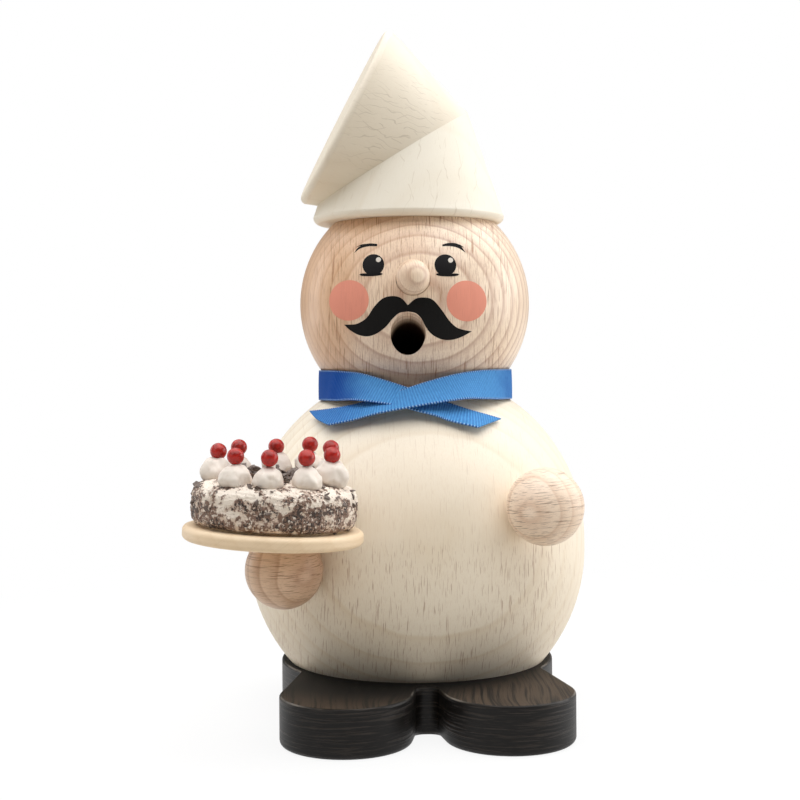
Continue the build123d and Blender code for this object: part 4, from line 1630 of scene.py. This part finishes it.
@dataclass
class Cake:
    """Cream cake on the serving plate, with rosettes, berries and chocolate."""

    seat: CakeSeat = CakeSeat()
    plate_grain: Grain = Grain(middle=(-25.5, -44.0, 39.0), fibres=(0.2, 1.0, 0.0), rings=(1.0, 0.0, 0.6))
    roughness: float = 0.42
    squareness: float = 3.6
    foot_squareness: float = 7.0
    rosette_radius: float = 2.75
    rosette_height: float = 4.1
    berry_radius: float = 1.46
    berry_turns: tuple[float, ...] = (180.0, -128.0, -92.0, -56.0, -18.0, 27.0, 60.0, 96.0, 137.0)
    berry_levels: tuple[float, ...] = (15.2, 15.05, 15.2, 15.4, 15.7, 16.4, 16.6, 15.85, 15.6)
    side_flakes: float = 0.06
    top_flakes: float = 0.4
    heap_radius: float = 7.0
    heap_height: float = 1.8
    flake_radii: Span = (0.6, 0.42)
    flake_depth: float = 0.34
    rosette_lump: float = 0.38
    rosette_ridges: float = 5.0
    rosette_twist: float = 2.5
    rosette_ridge: float = 0.03
    rosette_draw: float = 0.2
    rosette_overlap: float = 0.35
    rosette_lean: Span = (-0.2, 0.2)
    rosette_scale: Span = (0.92, 1.12)
    berry_dent: float = 0.05
    berry_lean: Box = ((-0.9, -0.9, 0.0), (0.9, 0.9, 6.0))
    pressed_size: Box = ((0.5, 0.4, 0.4), (1.7, 1.2, 0.7))
    pressed_lean: Box = ((-0.5, -0.5, 0.0), (0.5, 0.5, 6.3))
    heaped_size: Box = ((0.9, 0.7, 0.5), (2.8, 2.2, 0.8))
    heaped_lean: Box = ((-0.9, -0.9, 0.0), (0.9, 0.9, 6.3))

    BALL_FINENESS: ClassVar[int] = 7
    LUMPS: ClassVar[dict[str, float]] = {"Scale": 0.5, "Detail": 5.0, "Roughness": 0.62}
    LUMP_PUSH: ClassVar[float] = 2.4
    GRIT: ClassVar[dict[str, float]] = {"Scale": 1.7, "Detail": 2.0, "Roughness": 0.6}
    GRIT_PUSH: ClassVar[float] = 1.1
    FOOT_RISE: ClassVar[float] = 0.6

    def build(self) -> None:
        """Makes the plate's finish and everything on it."""
        dress(Wood.PLATE.value.material("serving_plate", self.plate_grain), "serving_plate")
        dress(Wood.RAW.value.material("cake_core", self.plate_grain), "cake_core", "serving_pin")
        self._coat()
        self._rosettes()
        self._berries()
        self._flakes()

    def _ring_points(self, drop: float) -> list[Triple]:
        """Places of the berries over the plate's underside.

        Args:
            drop: How much they are lowered.

        Returns:
            The places.
        """
        radius = self.seat.ring_radius
        turns = [math.radians(turn) for turn in self.berry_turns]
        return [
            (radius * math.cos(turn), radius * math.sin(turn), level - drop)
            for turn, level in zip(turns, self.berry_levels)
        ]

    def _coat_tree(self, name: str) -> tuple[Shape, Field]:
        """Starts a tree with the cake's form: a ball made square and rough.

        Args:
            name: Name of the tree.

        Returns:
            The tree and the form.
        """
        sizes = {
            "Radius": self.seat.cake_radius * MM,
            "Half Height": self.seat.cake_height / 2 * MM,
            "Squareness": self.squareness,
            "Foot Squareness": self.foot_squareness,
            "Roughness": self.roughness * MM,
        }
        tree = Shape(name, sizes)
        fineness = {"Radius": 1.0, "Subdivisions": self.BALL_FINENESS}
        ball = tree.node("GeometryNodeMeshIcoSphere", inputs=fineness)
        x, y, z = tree.split(tree.spot())
        flat = tree.maths("SQRT", x * x + y * y)
        foot_power = tree.size("Foot Squareness")
        power = tree.maths("GREATER_THAN", z, 0.0) * (tree.size("Squareness") - foot_power) + foot_power
        total = tree.maths("POWER", flat, power) + tree.maths("POWER", abs(z), power)
        reach = tree.maths("POWER", total, -1.0 / power)
        radius = tree.size("Radius")
        half = tree.size("Half Height")
        grown = tree.vector(x * reach * radius, y * reach * radius, (z * reach + 1.0) * half)
        cake = tree.placed(ball, grown)
        place = tree.scaled(tree.spot(), PER_METRE)
        kinds = ({"Vector": place, **looks} for looks in (self.LUMPS, self.GRIT))
        lumps, grit = (tree.node("ShaderNodeTexNoise", inputs=kind) for kind in kinds)
        push = ((lumps - 0.5) * self.LUMP_PUSH + (grit - 0.5) * self.GRIT_PUSH) * tree.size("Roughness")
        push = push * tree.step(tree.split(tree.spot())[2], 0.0, self.FOOT_RISE * MM)
        offset = tree.scaled(tree.node("GeometryNodeInputNormal"), push)
        return tree, tree.smoothed(tree.shifted(cake, offset))

    def _coat(self) -> None:
        """Makes the rough coat."""
        tree, geometry = self._coat_tree("cake coat")
        material = COAT.material("cake", self.seat)
        mesh = tree.grow(geometry, material, self.seat.to_frame(self.seat.plate_thickness))
        new_piece("rough_coat", mesh, material, "figure", ["cake_coat"])

    def _rosettes(self) -> None:
        """Makes the ring of piped cream."""
        sizes = {
            "Rosette Radius": self.rosette_radius * MM,
            "Rosette Height": self.rosette_height * MM,
            "Lump": self.rosette_lump * MM,
        }
        points = self._ring_points(self.rosette_height + self.berry_radius - self.rosette_overlap)
        tree = Shape("rosettes", sizes, points)
        fineness = {"Segments": 64, "Rings": 36, "Radius": 1.0}
        ball = tree.node("GeometryNodeMeshUVSphere", inputs=fineness)
        x, y, z = tree.split(tree.spot())
        turn = tree.maths("ARCTAN2", y, x)
        ridge = tree.maths("SINE", turn * self.rosette_ridges + z * self.rosette_twist) * self.rosette_ridge
        draw = 1.0 - tree.step(z, -0.3, 1.1) * self.rosette_draw
        belly = (1.0 + ridge) * draw * tree.size("Rosette Radius")
        dome = tree.vector(x * belly, y * belly, (z * 0.6 + 0.4) * tree.size("Rosette Height"))
        blob = tree.placed(ball, dome)
        leans = (tree.chance(*self.rosette_lean, seed=seed) for seed in (5, 6))
        spin = tree.vector(*leans, tree.chance(0.0, 6.28, seed=4))
        grow = tree.chance(*self.rosette_scale, seed=7)
        copies = tree.instances(tree.dots(), blob, Rotation=spin, Scale=grow)
        real = tree.node("GeometryNodeRealizeInstances", inputs={"Geometry": copies})
        place = tree.scaled(tree.spot(), PER_METRE)
        looks = {"Vector": place, "Scale": 0.42, "Detail": 1.0}
        lumps = tree.node("ShaderNodeTexNoise", inputs=looks, output=1)
        centred = tree.node("ShaderNodeVectorMath", {"operation": "SUBTRACT"}, {0: lumps, 1: (0.5, 0.5, 0.5)})
        lumpy = tree.shifted(real, tree.scaled(centred, tree.size("Lump") * 3.0))
        material = CREAM.material("cream")
        mesh = tree.grow(tree.smoothed(lumpy), material, self.seat.to_frame(0.0))
        new_piece("piped_cream", mesh, material, "figure", ["cream_rosettes"])

    def _berries(self) -> None:
        """Makes a berry for each rosette, dimpled on top."""
        tree = Shape("berries", {"Berry Radius": self.berry_radius * MM}, self._ring_points(0.0))
        fineness = {"Segments": 40, "Rings": 24, "Radius": 1.0}
        ball = tree.node("GeometryNodeMeshUVSphere", inputs=fineness)
        z = tree.split(tree.spot())[2]
        dent = 1.0 - tree.step(z, 0.9, 1.0) * self.berry_dent
        berry = tree.placed(ball, tree.scaled(tree.spot(), dent * tree.size("Berry Radius")))
        lean = tree.chance_vector(*self.berry_lean, seed=9)
        copies = tree.instances(tree.dots(), berry, Rotation=lean)
        material = BERRY.material("berry")
        mesh = tree.grow(tree.smoothed(copies), material, self.seat.to_frame(0.0))
        new_piece("red_berries", mesh, material, "figure", ["berries"])

    def _flakes(self) -> None:
        """Makes the chocolate flakes heaped on top and pressed into the coat."""
        tree, coat = self._coat_tree("flakes")
        bottom, top = (radius * MM for radius in self.flake_radii)
        cone = {"Vertices": 5, "Radius Top": top, "Radius Bottom": bottom, "Depth": self.flake_depth * MM}
        flake = tree.node("GeometryNodeMeshCone", {"fill_type": "NGON"}, cone)
        on_side = tree.scattered(coat, self.side_flakes, seed=5)
        size = tree.chance_vector(*self.pressed_size, seed=2)
        tilt = tree.chance_vector(*self.pressed_lean, seed=8)
        turned = tree.node("FunctionNodeRotateRotation", inputs={0: on_side.out("Rotation"), 1: tilt})
        pressed = tree.instances(on_side, flake, Rotation=turned, Scale=size)
        circle = {"Vertices": 32, "Radius": self.heap_radius * MM}
        disc = tree.node("GeometryNodeMeshCircle", {"fill_type": "NGON"}, circle)
        move = {"Geometry": disc, "Translation": (0.0, 0.0, self.seat.cake_height * MM)}
        on_top = tree.scattered(tree.node("GeometryNodeTransform", inputs=move), self.top_flakes, seed=3)
        rise = tree.vector(0.0, 0.0, tree.chance(0.0, self.heap_height * MM, seed=12))
        loose = tree.shifted(on_top, rise)
        big = tree.chance_vector(*self.heaped_size, seed=13)
        toss = tree.chance_vector(*self.heaped_lean, seed=14)
        heap = tree.instances(loose, flake, Rotation=toss, Scale=big)
        both = tree.node("GeometryNodeJoinGeometry")
        for part in (pressed, heap):
            tree.group.links.new(part.socket, both.socket.node.inputs[0])
        material = CHOCOLATE.material("chocolate")
        mesh = tree.grow(both, material, self.seat.to_frame(self.seat.plate_thickness))
        new_piece("chocolate_flakes", mesh, material, "figure", ["chocolate_crumbs"])


@dataclass(frozen=True)
class Lamp:
    """Soft box: where it hangs, the height on the axis that it faces, its size and its power in watts."""

    name: str
    place: Triple
    aim_height: float
    size: Point
    power: float

    def hang(self) -> None:
        """Puts the lamp in the scene."""
        data = bpy.data.lights.new(self.name, "AREA")
        data.shape = "RECTANGLE"
        data.size, data.size_y = (side * MM for side in self.size)
        data.energy = self.power
        lamp = bpy.data.objects.new(self.name, data)
        way = Vector((0.0, 0.0, self.aim_height)) - Vector(self.place)
        turn = way.to_track_quat("-Z", "Y").to_matrix().to_4x4()
        lamp.matrix_world = Matrix.Translation(Vector(self.place) * MM) @ turn
        bpy.context.scene.collection.objects.link(lamp)


@dataclass
class Studio:
    """Floor, lamps, white surroundings and the camera of the photograph."""

    camera_place: Triple = (-3.08, -288.66, 69.2)
    focal_pixels: float = 1400.0
    image_width: float = 800.0
    horizon_row: float = 362.0
    roll: float = 0.4
    sensor: float = 36.0
    floor_size: float = 3.0
    floor_colour: Triple = srgb(245, 245, 245)
    bounce_colour: Triple = (0.56, 0.53, 0.48)
    glow_span: Span = (60.0, 180.0)
    glow_shares: Span = (0.88, 1.0)
    seen_light: float = 0.95
    mirrored_light: float = 0.2
    plain_light: float = 0.05
    lamps: tuple[Lamp, ...] = (
        Lamp("ceiling", (0.0, 0.0, 600.0), 60.0, (1200.0, 1200.0), 8.9),
        Lamp("top", (60.0, -100.0, 520.0), 60.0, (420.0, 420.0), 0.55),
        Lamp("right_back", (420.0, 170.0, 300.0), 70.0, (200.0, 400.0), 0.66),
        Lamp("right", (450.0, 0.0, 130.0), 70.0, (300.0, 260.0), 0.72),
        Lamp("left_back", (-400.0, 200.0, 160.0), 60.0, (160.0, 320.0), 0.36),
        Lamp("left", (-380.0, -260.0, 240.0), 60.0, (300.0, 300.0), 0.27),
    )

    def build(self) -> None:
        """Makes the stage."""
        self._camera()
        self._floor()
        self._world()
        for lamp in self.lamps:
            lamp.hang()

    def _camera(self) -> None:
        """Camera at the photograph's place, level, with the horizon where the photograph has it."""
        data = bpy.data.cameras.new("camera")
        data.sensor_width = self.sensor
        data.lens = self.focal_pixels / self.image_width * self.sensor
        data.shift_y = (self.horizon_row - self.image_width / 2) / self.image_width
        data.clip_start = 0.01
        camera = bpy.data.objects.new("camera", data)
        turn = Matrix.Rotation(math.radians(90), 4, "X") @ Matrix.Rotation(math.radians(-self.roll), 4, "Z")
        camera.matrix_world = Matrix.Translation(Vector(self.camera_place) * MM) @ turn
        bpy.context.scene.collection.objects.link(camera)
        bpy.context.scene.camera = camera

    def _floor(self) -> None:
        """Paper floor that the camera sees nearly white, with a trace of the shadow.

        It glows more with its distance from the object, and other rays see it as dim paper.
        """
        half = self.floor_size / 2
        corners = [(-half, -half, 0.0), (half, -half, 0.0), (half, half, 0.0), (-half, half, 0.0)]
        mesh = bpy.data.meshes.new("floor")
        mesh.from_pydata(corners, [], [(0, 1, 2, 3)])
        floor = bpy.data.objects.new("floor", mesh)
        bpy.context.scene.collection.objects.link(floor)
        tree = Finish("floor_paper")
        x, y, _ = tree.split(tree.place())
        away = tree.step(tree.maths("SQRT", x * x + y * y), *self.glow_span)
        least, most = self.glow_shares
        paper = tree.node("ShaderNodeBsdfDiffuse", inputs={"Color": self.floor_colour})
        dim_paper = tree.node("ShaderNodeBsdfDiffuse", inputs={"Color": self.bounce_colour})
        glow = tree.node("ShaderNodeEmission", inputs={"Color": (1.0, 1.0, 1.0), "Strength": 1.0})
        share = away * (most - least) + least
        bright = tree.node("ShaderNodeMixShader", inputs={0: share, 1: paper, 2: glow})
        seen = tree.rays("Is Camera Ray", "Is Glossy Ray", "Is Transmission Ray")
        surface = tree.node("ShaderNodeMixShader", inputs={0: seen, 1: dim_paper, 2: bright})
        tree.node("ShaderNodeOutputMaterial", inputs={"Surface": surface})
        mesh.materials.append(tree.material)

    def _world(self) -> None:
        """White surroundings for the camera and for reflections, and a plain level for the light."""
        world = bpy.data.worlds.new("studio")
        world.use_nodes = True
        bpy.context.scene.world = world
        tree = Tree(world.node_tree)
        seen = tree.rays("Is Camera Ray", "Is Transmission Ray") * self.seen_light
        light = seen + tree.rays("Is Glossy Ray") * self.mirrored_light + self.plain_light
        glow = tree.node("ShaderNodeBackground", inputs={"Color": (1.0, 1.0, 1.0), "Strength": light})
        tree.node("ShaderNodeOutputWorld", inputs={"Surface": glow})


def main() -> None:
    """Builds the smoker and its studio."""
    logging.basicConfig(level=logging.INFO, format="%(name)s %(message)s")
    for part in (Base(), Body(), Head(), Cap(), Ribbon(), Cake(), Studio()):
        log.info("building %s", type(part).__name__)
        part.build()
    settings = bpy.context.scene.view_settings
    settings.view_transform = "Standard"


if __name__ == "__main__":
    main()
